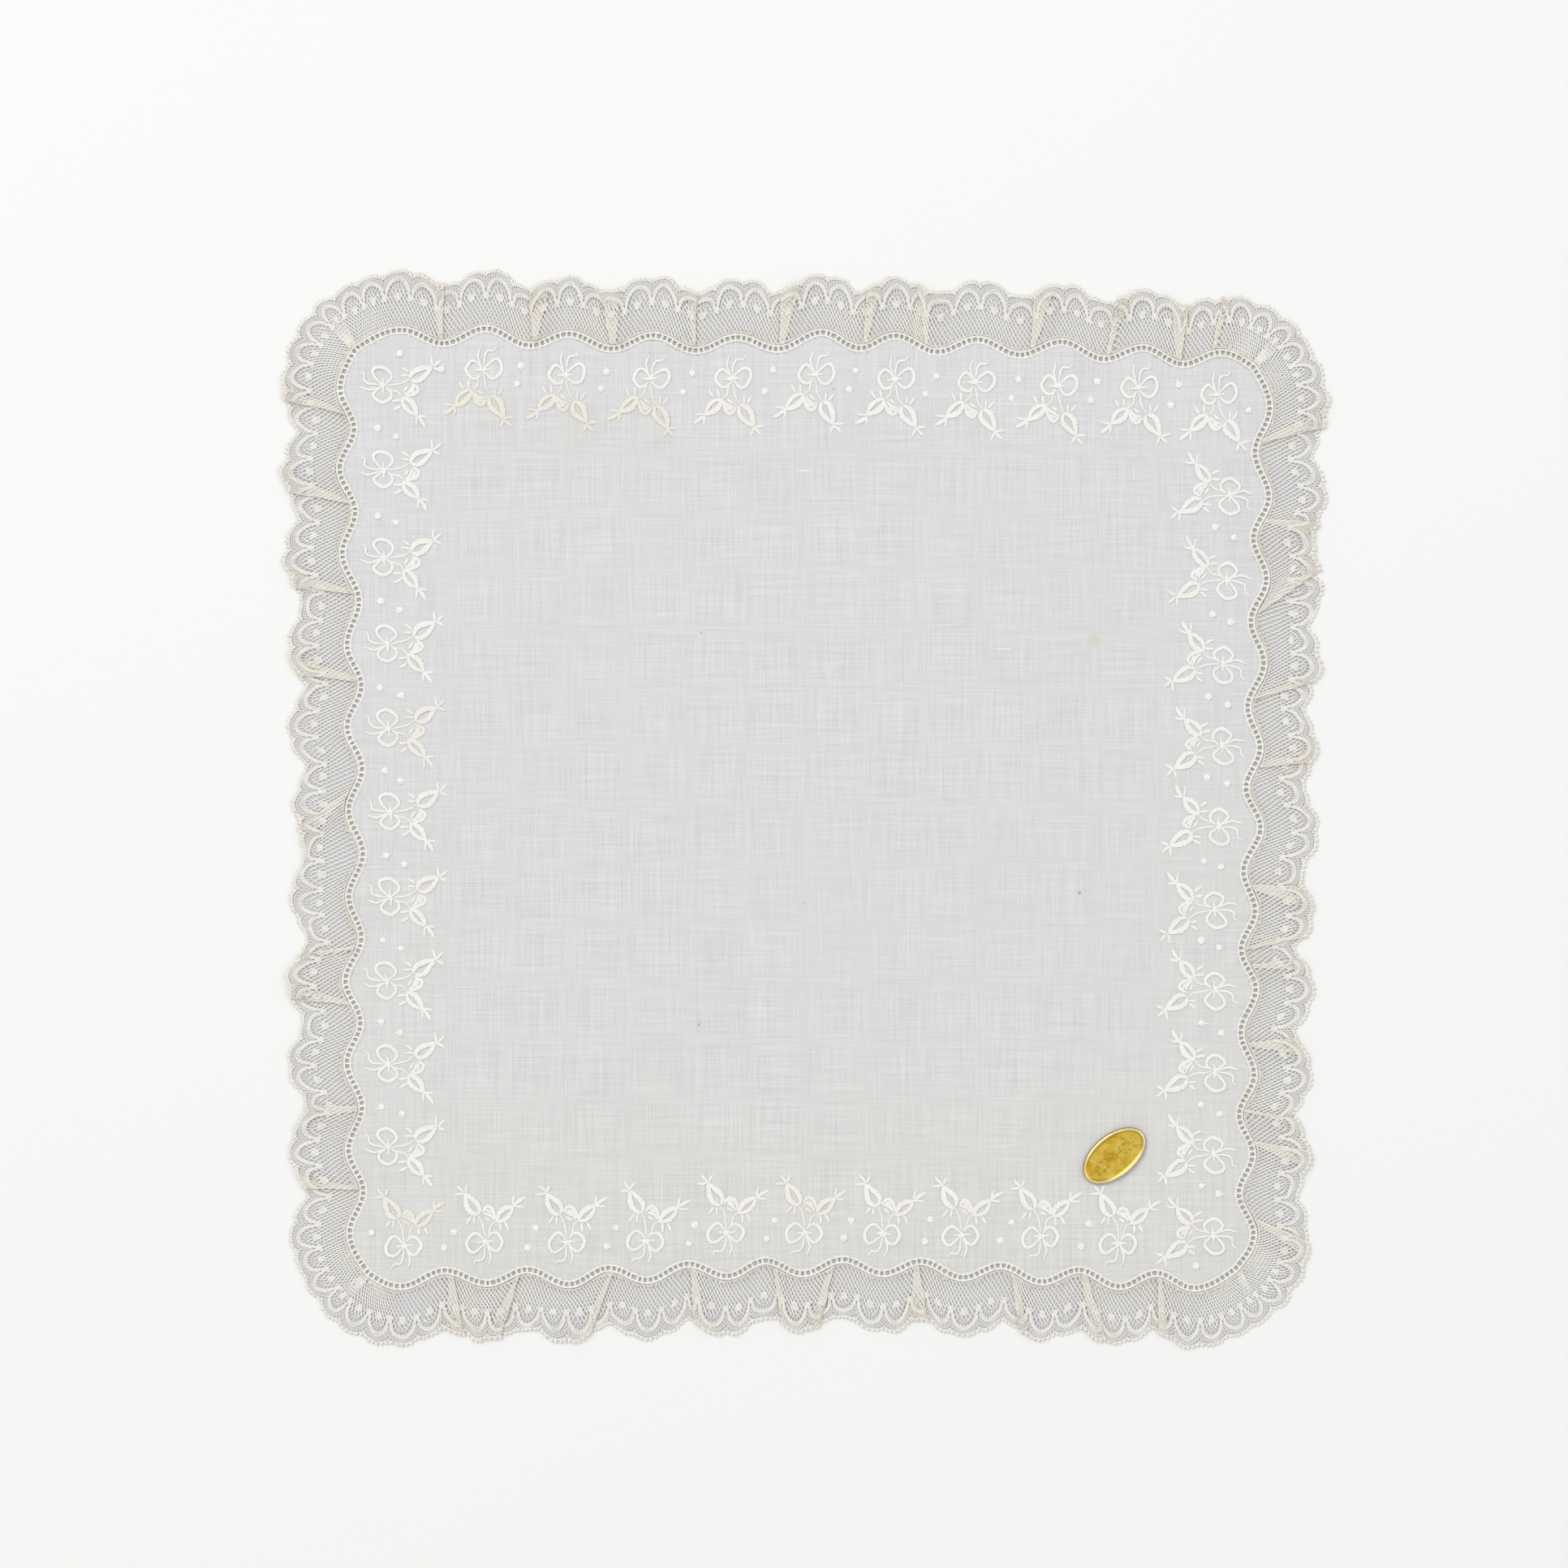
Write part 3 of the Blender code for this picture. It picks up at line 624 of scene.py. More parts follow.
def lawn_material():
    """Fine sheer lawn: thin and thick threads both ways, slubs, faint clouding and age stains."""
    made, tree, shader = nodes_of("fine_lawn")
    warp, weft = noise(tree, (2400, 60, 1), 2.0), noise(tree, (60, 2400, 1), 2.0)
    coarse_warp, coarse_weft = noise(tree, (700, 22, 1), 1.0), noise(tree, (22, 700, 1), 1.0)
    weave = maths(tree, "ADD", warp, weft)
    bands = maths(tree, "ADD", coarse_warp, coarse_weft)
    both = maths(tree, "ADD", maths(tree, "MULTIPLY", weave, 0.8), maths(tree, "MULTIPLY", bands, 0.2))
    colour = mixed(tree, span(tree, both, 0.7, 1.3), (0.645, 0.64, 0.648, 1), (0.845, 0.84, 0.848, 1))
    cloudy = noise(tree, (14, 14, 14), 2.0)
    colour = mixed(tree, span(tree, cloudy, 0.35, 0.7, 0.0, 0.4), colour, (0.75, 0.745, 0.745, 1))
    slubs = maths(tree, "MAXIMUM", noise(tree, (1500, 40, 1), 0.0), noise(tree, (40, 1500, 1), 0.0))
    colour = mixed(tree, span(tree, slubs, 0.7, 0.82, 0.0, 0.3), colour, (0.87, 0.87, 0.87, 1))
    place = node(tree, "ShaderNodeTexCoord").outputs["Object"]
    up = node(tree, "ShaderNodeSeparateXYZ", {"Vector": place}).outputs["Y"]
    colour = mixed(tree, span(tree, up, 0.06, -0.12), colour, (1.0, 1.0, 0.965, 1), "MULTIPLY")
    rough_edge = noise(tree, (110, 110, 110), 3.0)
    for x, y, radius, strength, shade in STAINS:
        away = node(tree, "ShaderNodeVectorMath", {0: place, 1: (x * MM, y * MM, CLOTH_TOP * MM)},
                    operation="DISTANCE").outputs["Value"]
        wander = 0.3 * radius * MM
        blurred = maths(tree, "ADD", away, span(tree, rough_edge, 0.3, 0.7, -wander, wander))
        share = span(tree, blurred, radius * MM, 0.2 * radius * MM, 0.0, strength)
        colour = mixed(tree, share, colour, (*shade, 1))
    tree.links.new(colour, shader.inputs["Base Color"])
    press(tree, shader, both, 0.35, 0.0001)
    set_values(shader, {"Roughness": 0.9, "Specular IOR Level": 0.2, "Sheen Weight": 0.1, "Alpha": 0.92})
    return made


def foil_material():
    """Thin gold paper foil: crinkled and dark at its edge, with a painted highlight, pale gold, along its
    rim, and painted shade where the tint sets it: the groove inside the rim and the sprig.
    """
    made, tree, shader = nodes_of("seal_foil")
    wear_and_lap_shade = noise(tree, (240, 240, 240), 4.0)
    colour = mixed(tree, span(tree, wear_and_lap_shade, 0.4, 0.65), (0.72, 0.45, 0.035, 1), (0.87, 0.64, 0.11, 1))
    # Painted highlight: the rim's crest is painted pale gold, by the share kept in the along value.
    colour = mixed(tree, attribute(tree, "along"), colour, (0.96, 0.86, 0.5, 1))
    # Darker towards brown by the tint: the seal's dark edge, and painted shade in the groove inside the rim
    # and on the raised sprig.
    colour = mixed(tree, attribute(tree, "tint"), colour, (0.2, 0.14, 0.04, 1))
    tree.links.new(colour, shader.inputs["Base Color"])
    tree.links.new(span(tree, wear_and_lap_shade, 0.35, 0.7, 0.2, 0.42), shader.inputs["Roughness"])
    press(tree, shader, noise(tree, (900, 900, 900), 3.0), 0.35, 0.0001)
    set_values(shader, {"Metallic": 0.85})
    return made


# Faint yellow age stains and dark specks on the lawn: centre, radius, strength and colour
YELLOW = (0.7, 0.66, 0.47)
BROWN = (0.36, 0.3, 0.26)
STAINS = (
    (-88.0, 108.5, 9.0, 0.15, YELLOW),
    (-64.0, 107.0, 10.0, 0.17, YELLOW),
    (-42.0, 106.5, 8.0, 0.15, YELLOW),
    (82.0, 46.5, 2.4, 0.6, YELLOW),
    (87.0, 45.3, 1.3, 0.5, YELLOW),
    (-117.0, 24.5, 6.0, 0.16, YELLOW),
    (-29.5, 48.8, 0.5, 0.8, BROWN),
    (8.0, 117.8, 0.5, 0.8, BROWN),
    (-0.5, -27.6, 0.45, 0.8, BROWN),
    (-30.1, -62.1, 0.45, 0.7, BROWN),
    (77.7, -24.8, 0.5, 0.8, BROWN),
)


# The lace's own drawing: x mm from the middle of a scallop, depth mm in from the rim

BAND_TOP = 2.8
BAND_FOOT = 8.7
RING_TOP = 4.7
RING_FOOT = 9.2
RING_HALF = 2.7
DOT_DEPTH = 7.8
DOT_RADIUS = 1.15
PICOTS = 6
NET_COLUMNS = 14
NET_STEP = 1.0
NET_TOP = 3.2


def edge_depth(x):
    """The scalloped edge, without its picots."""
    return 1.0 + 1.5 * (1 - np.abs(np.cos(np.pi * np.clip(np.abs(x), 0, SCALLOP / 2) / SCALLOP)) ** 0.6)


def arch(width, top, foot, count, reach=90.0):
    """Points of an arch, as x and depth, from one side over its top to the other."""
    turn = np.radians(np.linspace(-reach, reach, count))
    return np.stack([width * np.sin(turn), foot - (foot - top) * np.cos(turn)], axis=-1)


def band_outer(x):
    """The outer border of the solid arch band."""
    return BAND_FOOT - (BAND_FOOT - 2.15) * np.sqrt(1 - (x / 4.75) ** 2)


def between(x, share):
    """A depth between the edge and the band."""
    return edge_depth(x) + (band_outer(x) - edge_depth(x)) * share


def draw_scallops(lace, out, first, last):
    """Everything that repeats with the scallops, for scallops first to last."""
    middles = np.arange(first, last) + 0.5

    def put(lines, wide, high, shake, tint=0.12):
        """Lays lines, (n, k, 2) of x and depth, on every scallop."""
        lines = np.broadcast_to(lines, (len(middles), *lines.shape))
        lines = lines + rng.normal(0, 1, lines.shape) * shake
        phase = middles[:, None, None] + lines[..., 0] / SCALLOP
        points, lap_shade = lace.lay(phase, lines[..., 1])
        k = points.shape[2]
        wide, high = (np.tile(np.broadcast_to(v, lines.shape[1:3]), (len(middles), 1)) for v in (wide, high))
        vary = rng.uniform(-0.1, 0.1, (points.shape[0] * points.shape[1], 1))
        # The tint adds painted shade near the pleats' laps to each thread's own tone.
        tubes(out, points.reshape(-1, k, 3), wide, high, tint=tint + vary + 0.5 * lap_shade.reshape(-1, k) ** 2)

    bases = (np.arange(PICOTS) - (PICOTS - 1) / 2) * SCALLOP / PICOTS
    picots, teeth = [], []
    for x in bases:
        low = edge_depth(x)
        picots.append([(x - 0.58, edge_depth(x - 0.58)), (x - 0.42, low - 0.5), (1.02 * x, low - 0.92),
                       (x + 0.42, low - 0.5), (x + 0.58, edge_depth(x + 0.58))])
        teeth.append([(x, low - 0.02), (x, low - 0.45), (1.01 * x, low - 0.85)])
    put(np.array(picots), 0.18, 0.12, shake=0.1, tint=0.3)
    put(np.array(teeth), np.array([0.46, 0.42, 0.2]), 0.16, shake=0.08, tint=0.4)
    sweep = np.linspace(-SCALLOP / 2, SCALLOP / 2, 12)
    for share, thick in ((0.0, 0.17), (0.42, 0.13), (0.8, 0.11), (1.2, 0.11)):
        put(np.stack([sweep, between(sweep, share)], axis=-1)[None], thick, 0.6 * thick, shake=0.02)
    for share_a, share_b, count, thick in ((0.0, 0.42, 11, 0.11), (0.42, 1.3, 18, 0.1)):
        x = (np.arange(count) - (count - 1) / 2) * SCALLOP / count
        ends = [np.stack([x, between(x, share)], axis=-1) for share in (share_a, share_b)]
        put(np.stack(ends, axis=1), thick, 0.6 * thick, shake=0.03)

    def band_lane(off, width, count, reach):
        return arch(width + min(off, 0.0), BAND_TOP - off, BAND_FOOT, count, reach)

    lanes = [band_lane(off, 4.08, 13, 90.0) for off in (-0.5, -0.17, 0.17, 0.5)]
    put(np.stack(lanes), 0.17, 0.09, shake=0.03, tint=0.16)
    inner, outer = (band_lane(off, 4.05, 22, 84.0) for off in (-0.6, 0.55))
    put(np.stack([inner, outer], axis=1), 0.1, 0.12, shake=0.05, tint=0.2)
    put(arch(RING_HALF, RING_TOP, RING_FOOT, 11, reach=84)[None], 0.13, 0.08, shake=0.02)
    inner = arch(RING_HALF, RING_TOP, RING_FOOT, 11, reach=76)
    outer = arch(3.5, BAND_TOP + 0.55, BAND_FOOT, 11, reach=80)
    put(np.stack([inner, outer], axis=1), 0.13, 0.08, shake=0.03)
    lanes = np.linspace(-0.8, 0.8, 6)
    reach = np.sqrt(DOT_RADIUS ** 2 - lanes ** 2)
    along = np.stack([np.stack([side * reach, DOT_DEPTH + lanes], axis=-1) for side in (-1, 1)], axis=1)
    down = np.stack([np.stack([lanes, DOT_DEPTH + side * reach], axis=-1) for side in (-1, 1)], axis=1)
    put(np.concatenate([along, down]), 0.13, 0.08, shake=0.09, tint=0.2)


def draw_net(lace, out, first, last):
    """The diamond net from the arches to the footing, for scallops first to last."""
    rows = int((LACE_DEEP - NET_TOP) / NET_STEP)
    depth = LACE_DEEP + SEWN_UNDER - NET_STEP * np.arange(rows, -1, -1)
    along = np.arange(first * NET_COLUMNS, last * NET_COLUMNS)
    c, j = np.meshgrid(along, np.arange(rows), indexing="ij")
    keep = (c + j) % 2 == 0
    c, j = c[keep], j[keep]
    whole = lace.scallops * NET_COLUMNS
    shift = rng.normal(0, 1, (whole + 2, rows + 2, 2)) * (0.05, 0.06)

    def node_at(c, j):
        move = shift[c % whole, j]
        return c / NET_COLUMNS + move[..., 0] / SCALLOP, depth[j] + move[..., 1]

    ends = []
    for way in (-1, 1):
        a, b = node_at(c, j), node_at(c + way, j + 1)
        ends.append(np.stack([np.stack(a, axis=-1), np.stack(b, axis=-1)], axis=1))
    ends = np.concatenate(ends)
    mid = ends.mean(axis=1)
    x = ((mid[:, 0] % 1) - 0.5) * SCALLOP

    def dome(foot, tall, half):
        return foot - tall * np.sqrt(np.clip(1 - (x / half) ** 2, 0, 1))

    under_ring = mid[:, 1] > dome(RING_FOOT, RING_FOOT - RING_TOP - 0.3, RING_HALF)
    under_band = mid[:, 1] > dome(BAND_FOOT + 0.4, BAND_FOOT - BAND_TOP, 4.1)
    kept = np.where(np.abs(x) < RING_HALF, under_ring, under_band)
    ends = ends[kept]
    thick = np.repeat((0.115, 0.2), len(c))[kept]
    points, lap_shade = lace.lay(ends[..., 0], ends[..., 1])
    near_foot = np.clip((ends[..., 1] - LACE_DEEP + 4) / 4, 0, 1)
    # Near the pleats' laps the threads are drawn thicker, and their tint carries painted shade of the stacked
    # layers.
    wear_and_lap_shade = lap_shade ** 1.6
    vary = rng.uniform(-0.08, 0.08, (len(points), 1))
    tint = 0.06 + vary + 0.6 * wear_and_lap_shade + 0.25 * near_foot
    tubes(out, points, thick[:, None] * (1 + 0.15 * wear_and_lap_shade), 0.08, tint=tint)


def draw_footing(lace, out, first, last):
    """The heading thread and the small gathered loops where the lace is sewn to the beading."""
    phase = np.arange(first, last + 1e-6, 1 / NET_COLUMNS)
    points, lap_shade = lace.lay(phase, np.full(len(phase), LACE_DEEP + SEWN_UNDER - 0.25))
    # The heading thread's tint is partly painted shade near the pleats' laps.
    tubes(out, points[None], 0.16, 0.1, tint=0.4 * lap_shade + 0.4)
    count = int((last - first) * 9)
    start = np.sort(rng.uniform(first, last, count))
    reach = rng.uniform(0.35, 1.3, count)
    lean = rng.normal(0, 0.35, count)
    turn = np.linspace(0, math.pi, 6)
    x = start[:, None] + (0.3 * np.cos(turn)[None] + lean[:, None] * np.sin(turn)) / SCALLOP
    depth = LACE_DEEP + SEWN_UNDER - reach[:, None] * np.sin(turn)
    points, _ = lace.lay(x, depth)
    points[..., 2] += 0.12 + 0.22 * np.sin(turn)
    tubes(out, points, 0.1, 0.07, tint=0.6)


def make_lace(lace, finish):
    """The four lengths of the lace frill."""
    quarter = np.round(np.linspace(0, lace.scallops, 5)).astype(int)
    pieces = []
    for name, first, last in zip(SIDES, quarter, quarter[1:]):
        out = Mesh()
        draw_scallops(lace, out, first, last)
        draw_net(lace, out, first, last)
        draw_footing(lace, out, first, last)
        piece = out.build(f"lace_{name}", finish, "ivory_lace", smooth_faces=False)
        length = lace.total * (last - first) / lace.scallops
        pieces.append((piece, (LACE_DEEP * MM, length * MM)))
    return pieces


BEADING_LINE = centre_line(LAWN_STEPS)[0]


def lawn_height(x, y):
    """The top of the lawn: nearly flat, with a very slight wave, and lower where it meets the beading."""
    wave = 0.05 * np.sin(x / 23 + np.sin(y / 31)) + 0.04 * np.sin(y / 19 + 1.3 * np.sin(x / 37))
    across = np.asarray(x)[..., None] - BEADING_LINE[:, 0]
    up = np.asarray(y)[..., None] - BEADING_LINE[:, 1]
    away = np.sqrt((across ** 2 + up ** 2).min(axis=-1))
    return CLOTH_TOP - 0.06 + wave - LAWN_FALL * np.clip(1 - (away - LAWN_INSET) / LAWN_FALL_REACH, 0, 1)


def on_lawn(flat, high):
    """Places on the lawn, (..., 2), as points at a height above it."""
    return lifted(flat, lawn_height(flat[..., 0], flat[..., 1]) + high)


def make_lawn(finish):
    """The lawn square as a thin closed sheet, its edge tucked under the beading."""
    points, normal, _ = centre_line(LAWN_STEPS)
    outline = points - normal * LAWN_INSET
    middle = outline.mean(axis=0)
    rows = [outline] + [outline - normal * inset for inset in (0.2, 1.0)]
    flat = np.stack(rows + [middle + (outline - middle) * share for share in np.linspace(0.94, 0.04, 15)])
    rings, count = flat.shape[:2]
    out = Mesh()
    top = on_lawn(flat, 0.0).reshape(-1, 3)
    bottom = top - (0, 0, LAWN_THICK)
    hub_top = on_lawn(middle[None], 0.0)
    centre = np.concatenate([hub_top, hub_top - (0, 0, LAWN_THICK)])
    index = np.arange(rings * count).reshape(rings, count)
    after = np.roll(index, -1, axis=1)
    upper = np.stack([index[:-1], index[1:], after[1:], after[:-1]], axis=-1).reshape(-1, 4)
    lower = upper[:, ::-1] + len(top)
    rim = np.stack([index[0], after[0], after[0] + len(top), index[0] + len(top)], axis=-1)
    hub = 2 * len(top)
    fan_up = np.stack([index[-1], np.full(count, hub), after[-1]], axis=-1)
    fan_down = np.stack([after[-1] + len(top), np.full(count, hub + 1), index[-1] + len(top)], axis=-1)
    out.add(np.concatenate([top, bottom, centre]), [upper, lower, rim, fan_up, fan_down])
    piece = out.build("lawn_square", finish, "white_lawn")
    lengths = outline.max(axis=0) - outline.min(axis=0)
    x, y = outline.T
    area = abs(float((x * np.roll(y, -1) - y * np.roll(x, -1)).sum())) / 2
    return piece, tuple(float(v) * MM for v in lengths), area * MM * MM


def make_beading(finish):
    """The entredeux: two corded rails with a rung between each two holes, and its fine stitches."""
    points, normal, _ = centre_line(STEPS_PER_LOBE)
    at, total = closed_measure(points)
    count = round(total / HOLE_PITCH)

    def on(values, s):
        return read_line(s, at, values, total)

    out = Mesh()
    fine = np.arange(count * 2) * total / (count * 2)
    for side in (-1, 1):
        line = on(points, fine) + unit(on(normal, fine)) * RAIL_OUT * side
        path = lifted(line, BEADING_HIGH + 0.03 * np.sin(fine))
        pulse = 0.35 + 0.05 * np.cos(2 * math.pi * fine * count / total) + rng.normal(0, 0.008, len(fine))
        tubes(out, path[None], pulse, 0.27, sides=6, closed=True, along=fine)
    holes = (np.arange(count) + rng.normal(0, 0.055, count)) * total / count
    mid, out_way = on(points, holes), unit(on(normal, holes))
    reach = np.array([-0.75, -0.4, 0.0, 0.4, 0.75])
    path = lifted(mid[:, None] + out_way[:, None] * reach[:, None], BEADING_HIGH - 0.02)
    width = np.array([0.66, 0.44, 0.33, 0.44, 0.66]) * rng.normal(1, 0.1, (count, 1))
    tubes(out, path, width, 0.2, sides=4, along=reach)
    piece = out.build("beading_cords", finish, "cream_cotton")
    stitches = Mesh()
    many = 2 * count
    for side, far in ((-1, 0.45), (1, 0.5)):
        s = (np.arange(many) + rng.normal(0, 0.2, many)) * total / many
        mid, out_way = on(points, s), unit(on(normal, s)) * side
        lean = np.column_stack([-out_way[:, 1], out_way[:, 0]]) * rng.normal(0, 0.3, (len(s), 1))
        length = rng.uniform(0.0, far, (len(s), 1))
        a, b = mid + out_way * 0.58, mid + out_way * 0.92 + lean * 0.2
        c = mid + out_way * (1.22 + length) + lean * (0.4 + length)
        path = lifted(np.stack([a, b, c], axis=1), BEADING_HIGH + np.array([0.14, 0.33, 0.1]))
        tubes(stitches, path, (0.13, 0.14, 0.06), 0.09)
    return piece, stitches.build("beading_stitches", finish, "cream_cotton")


# One embroidered motif: strokes of satin stitch, each with its widest half width
# and its points in mm from the knot, +y towards the handkerchief's edge
MOTIF = (
    (0.52, (0.3, 0.4), (1.6, 1.7), (3.0, 2.9), (4.4, 3.1), (5.3, 1.9), (5.5, 0.1), (4.7, -1.3), (3.4, -2.6),
     (2.1, -2.5), (1.1, -1.3), (0.3, -0.4)),
    (0.52, (-0.3, 0.5), (-1.3, 1.9), (-2.3, 2.9), (-3.5, 2.5), (-4.8, 0.4), (-4.6, -0.6), (-3.8, -1.9),
     (-2.7, -2.7), (-1.3, -2.3), (-0.4, -0.9)),
    (0.34, (-0.2, 0.5), (-0.8, 2.2), (-1.4, 3.6), (-1.2, 4.9), (-0.6, 6.7)),
    (0.34, (0.2, 0.6), (0.4, 2.6), (0.6, 4.3), (1.5, 5.5), (2.6, 5.2), (3.5, 5.5), (3.9, 6.6)),
    (0.75, (-1.0, 0.0), (0.0, 0.1), (1.0, 0.0)),
    (0.3, (-2.3, -0.1), (-0.6, -0.1)),
    (0.3, (0.6, 0.0), (2.2, 0.1)),
    (0.28, (0.0, -0.6), (0.4, -2.6), (0.6, -4.6), (1.2, -6.2), (2.3, -7.6)),
    (0.26, (-0.6, -1.0), (-1.3, -2.8), (-1.3, -4.0), (-2.0, -5.0), (-3.1, -5.8)),
    (0.66, (-3.1, -5.7), (-4.6, -5.7), (-6.2, -6.5), (-7.3, -7.9), (-8.0, -9.8)),
    (0.86, (-3.1, -5.9), (-3.6, -7.2), (-4.3, -8.5), (-6.0, -9.4), (-8.1, -9.9)),
    (0.36, (-8.0, -9.9), (-9.3, -9.8), (-11.0, -9.6)),
    (0.6, (-8.1, -10.2), (-9.6, -11.4), (-11.4, -12.2)),
    (0.4, (-8.0, -10.3), (-8.2, -11.6), (-8.5, -12.7)),
    (0.88, (2.3, -7.6), (3.9, -8.0), (5.0, -9.4), (5.4, -11.2), (5.7, -13.6)),
    (0.8, (2.0, -7.9), (1.5, -9.2), (1.9, -10.6), (3.3, -12.0), (5.5, -13.7)),
    (0.42, (5.7, -13.9), (7.2, -13.6), (8.7, -13.6)),
    (0.44, (5.8, -14.1), (6.9, -15.2), (7.7, -16.1)),
    (0.44, (5.6, -14.1), (5.2, -15.2), (4.6, -16.1)),
    (0.44, (-6.6, -3.1), (-6.1, -4.3), (-5.5, -5.4)),
    (0.44, (-4.1, -2.8), (-4.1, -4.1), (-4.0, -5.3)),
    (0.36, (3.2, -4.9), (3.2, -6.2), (3.1, -7.4)),
    (0.4, (5.4, -5.2), (4.8, -6.2), (3.9, -7.2)),
    (0.6, (-2.9, -6.2), (-2.6, -7.8), (-1.9, -9.4), (-0.7, -10.2), (0.4, -9.4), (0.8, -8.2)),
    (0.5, (-2.3, -6.2), (-1.9, -7.2), (-0.9, -7.9), (0.4, -8.3)),
    (0.42, (-1.8, -8.0), (-0.9, -8.8), (0.1, -8.9)),
    (0.42, (-1.4, -5.9), (-0.6, -6.6), (0.2, -7.0)),
)

# The knot of each motif on its side, in mm in the frame, clockwise
MOTIFS = {
    "top": ((-91.3, 123.3), (-67.9, 121.9), (-43.9, 120.8), (-20.7, 120.8), (2.8, 121.9), (25.4, 120.6),
            (48.1, 119.7), (71.5, 118.7), (94.3, 118.2), (116.8, 116.3)),
    "right": ((120.1, 87.9), (119.4, 63.9), (118.2, 40.0), (117.9, 17.0), (117.1, -5.8), (115.9, -29.4),
              (115.9, -52.2), (115.9, -75.4), (115.5, -98.7), (115.5, -121.7)),
    "bottom": ((88.9, -124.0), (66.9, -122.1), (44.4, -121.7), (22.1, -121.3), (0.0, -121.0), (-22.1, -121.0),
               (-44.9, -123.3), (-67.2, -123.6), (-90.4, -123.6), (-113.4, -124.7)),
    "left": ((-118.1, -96.9), (-118.1, -73.5), (-118.5, -49.9), (-117.5, -26.2), (-117.5, -2.1),
             (-118.0, 21.6), (-118.3, 45.5), (-119.3, 69.9), (-119.4, 94.8), (-119.6, 118.7)),
}
# Single dots near the corners, with no place in a row
LONE_DOTS = (
    (-114.8, 127.9), (-103.0, 123.4), (125.6, 111.8), (110.6, -130.4), (-122.8, -121.0), (-102.1, -125.1),
)
# Thick places in the weave, where a single thread stands out
SLUBS = ((-0.5, 94.8), (55.9, 44.2))
# Motifs whose inner half has yellowed, by side and place, with how much
YELLOWED = {
    ("top", 0): 0.75, ("top", 1): 0.85, ("top", 2): 0.9, ("top", 3): 0.25,
    ("left", 5): 0.45, ("bottom", 4): 0.4, ("bottom", 9): 0.5,
}
STITCH_STEP = 0.34
STITCH_WIDE = 0.23
STITCH_HIGH = 0.11


def sew_stroke(out, widest, points, knot, tilt, yellow):
    """One stroke of a motif: a low padding thread with slanted satin stitches laid over it."""
    bent = np.array(points) + rng.normal(0, 0.1, (len(points), 2))
    where = np.linspace(0, len(bent) - 1, 2 * len(bent) - 1)
    line = read_line(where, np.arange(len(bent)), bent)
    line[1:-1] = (line[:-2] + 2 * line[1:-1] + line[2:]) / 4
    run = np.concatenate([[0], np.cumsum(np.linalg.norm(np.diff(line, axis=0), axis=1))])

    def half_width(along):
        share = np.clip(along / run[-1], 0.03, 0.97)
        return widest * (0.3 + 0.64 * np.sin(np.pi * share) ** 0.6)

    def stand(flat, high):
        return on_lawn(knot + flat @ tilt.T, high)

    def yellowing(flat):
        return yellow * smooth(np.clip(-flat[..., 1] / 9, 0, 1)) + 0.04

    wide = half_width(run)
    padding = stand(line, 0.02)[None]
    tubes(out, padding, 0.85 * wide, 0.06 + 0.16 * wide, tint=yellowing(line))
    along = np.arange(0.5, run[-1] / STITCH_STEP) * STITCH_STEP
    middle = read_line(along, run, line)
    way = unit(read_line(along, run, np.gradient(line, run, axis=0)))
    slant = 1.2 + rng.normal(0, 0.1, len(along))
    cos, sin = np.cos(slant), np.sin(slant)
    thread = np.stack([way[:, 0] * cos - way[:, 1] * sin, way[:, 0] * sin + way[:, 1] * cos], axis=-1)
    reach = (half_width(along) * rng.normal(1.05, 0.05, len(along)) + 0.02)[:, None]
    high = (0.07 + 0.2 * half_width(along) + rng.normal(0, 0.01, len(along)))[:, None]
    high = high + rng.normal(0, 0.01, (len(along), 2))
    path = stand(np.stack([middle - thread * reach, middle + thread * reach], axis=1), high)
    tubes(out, path, STITCH_WIDE, STITCH_HIGH, tint=yellowing(middle)[:, None])


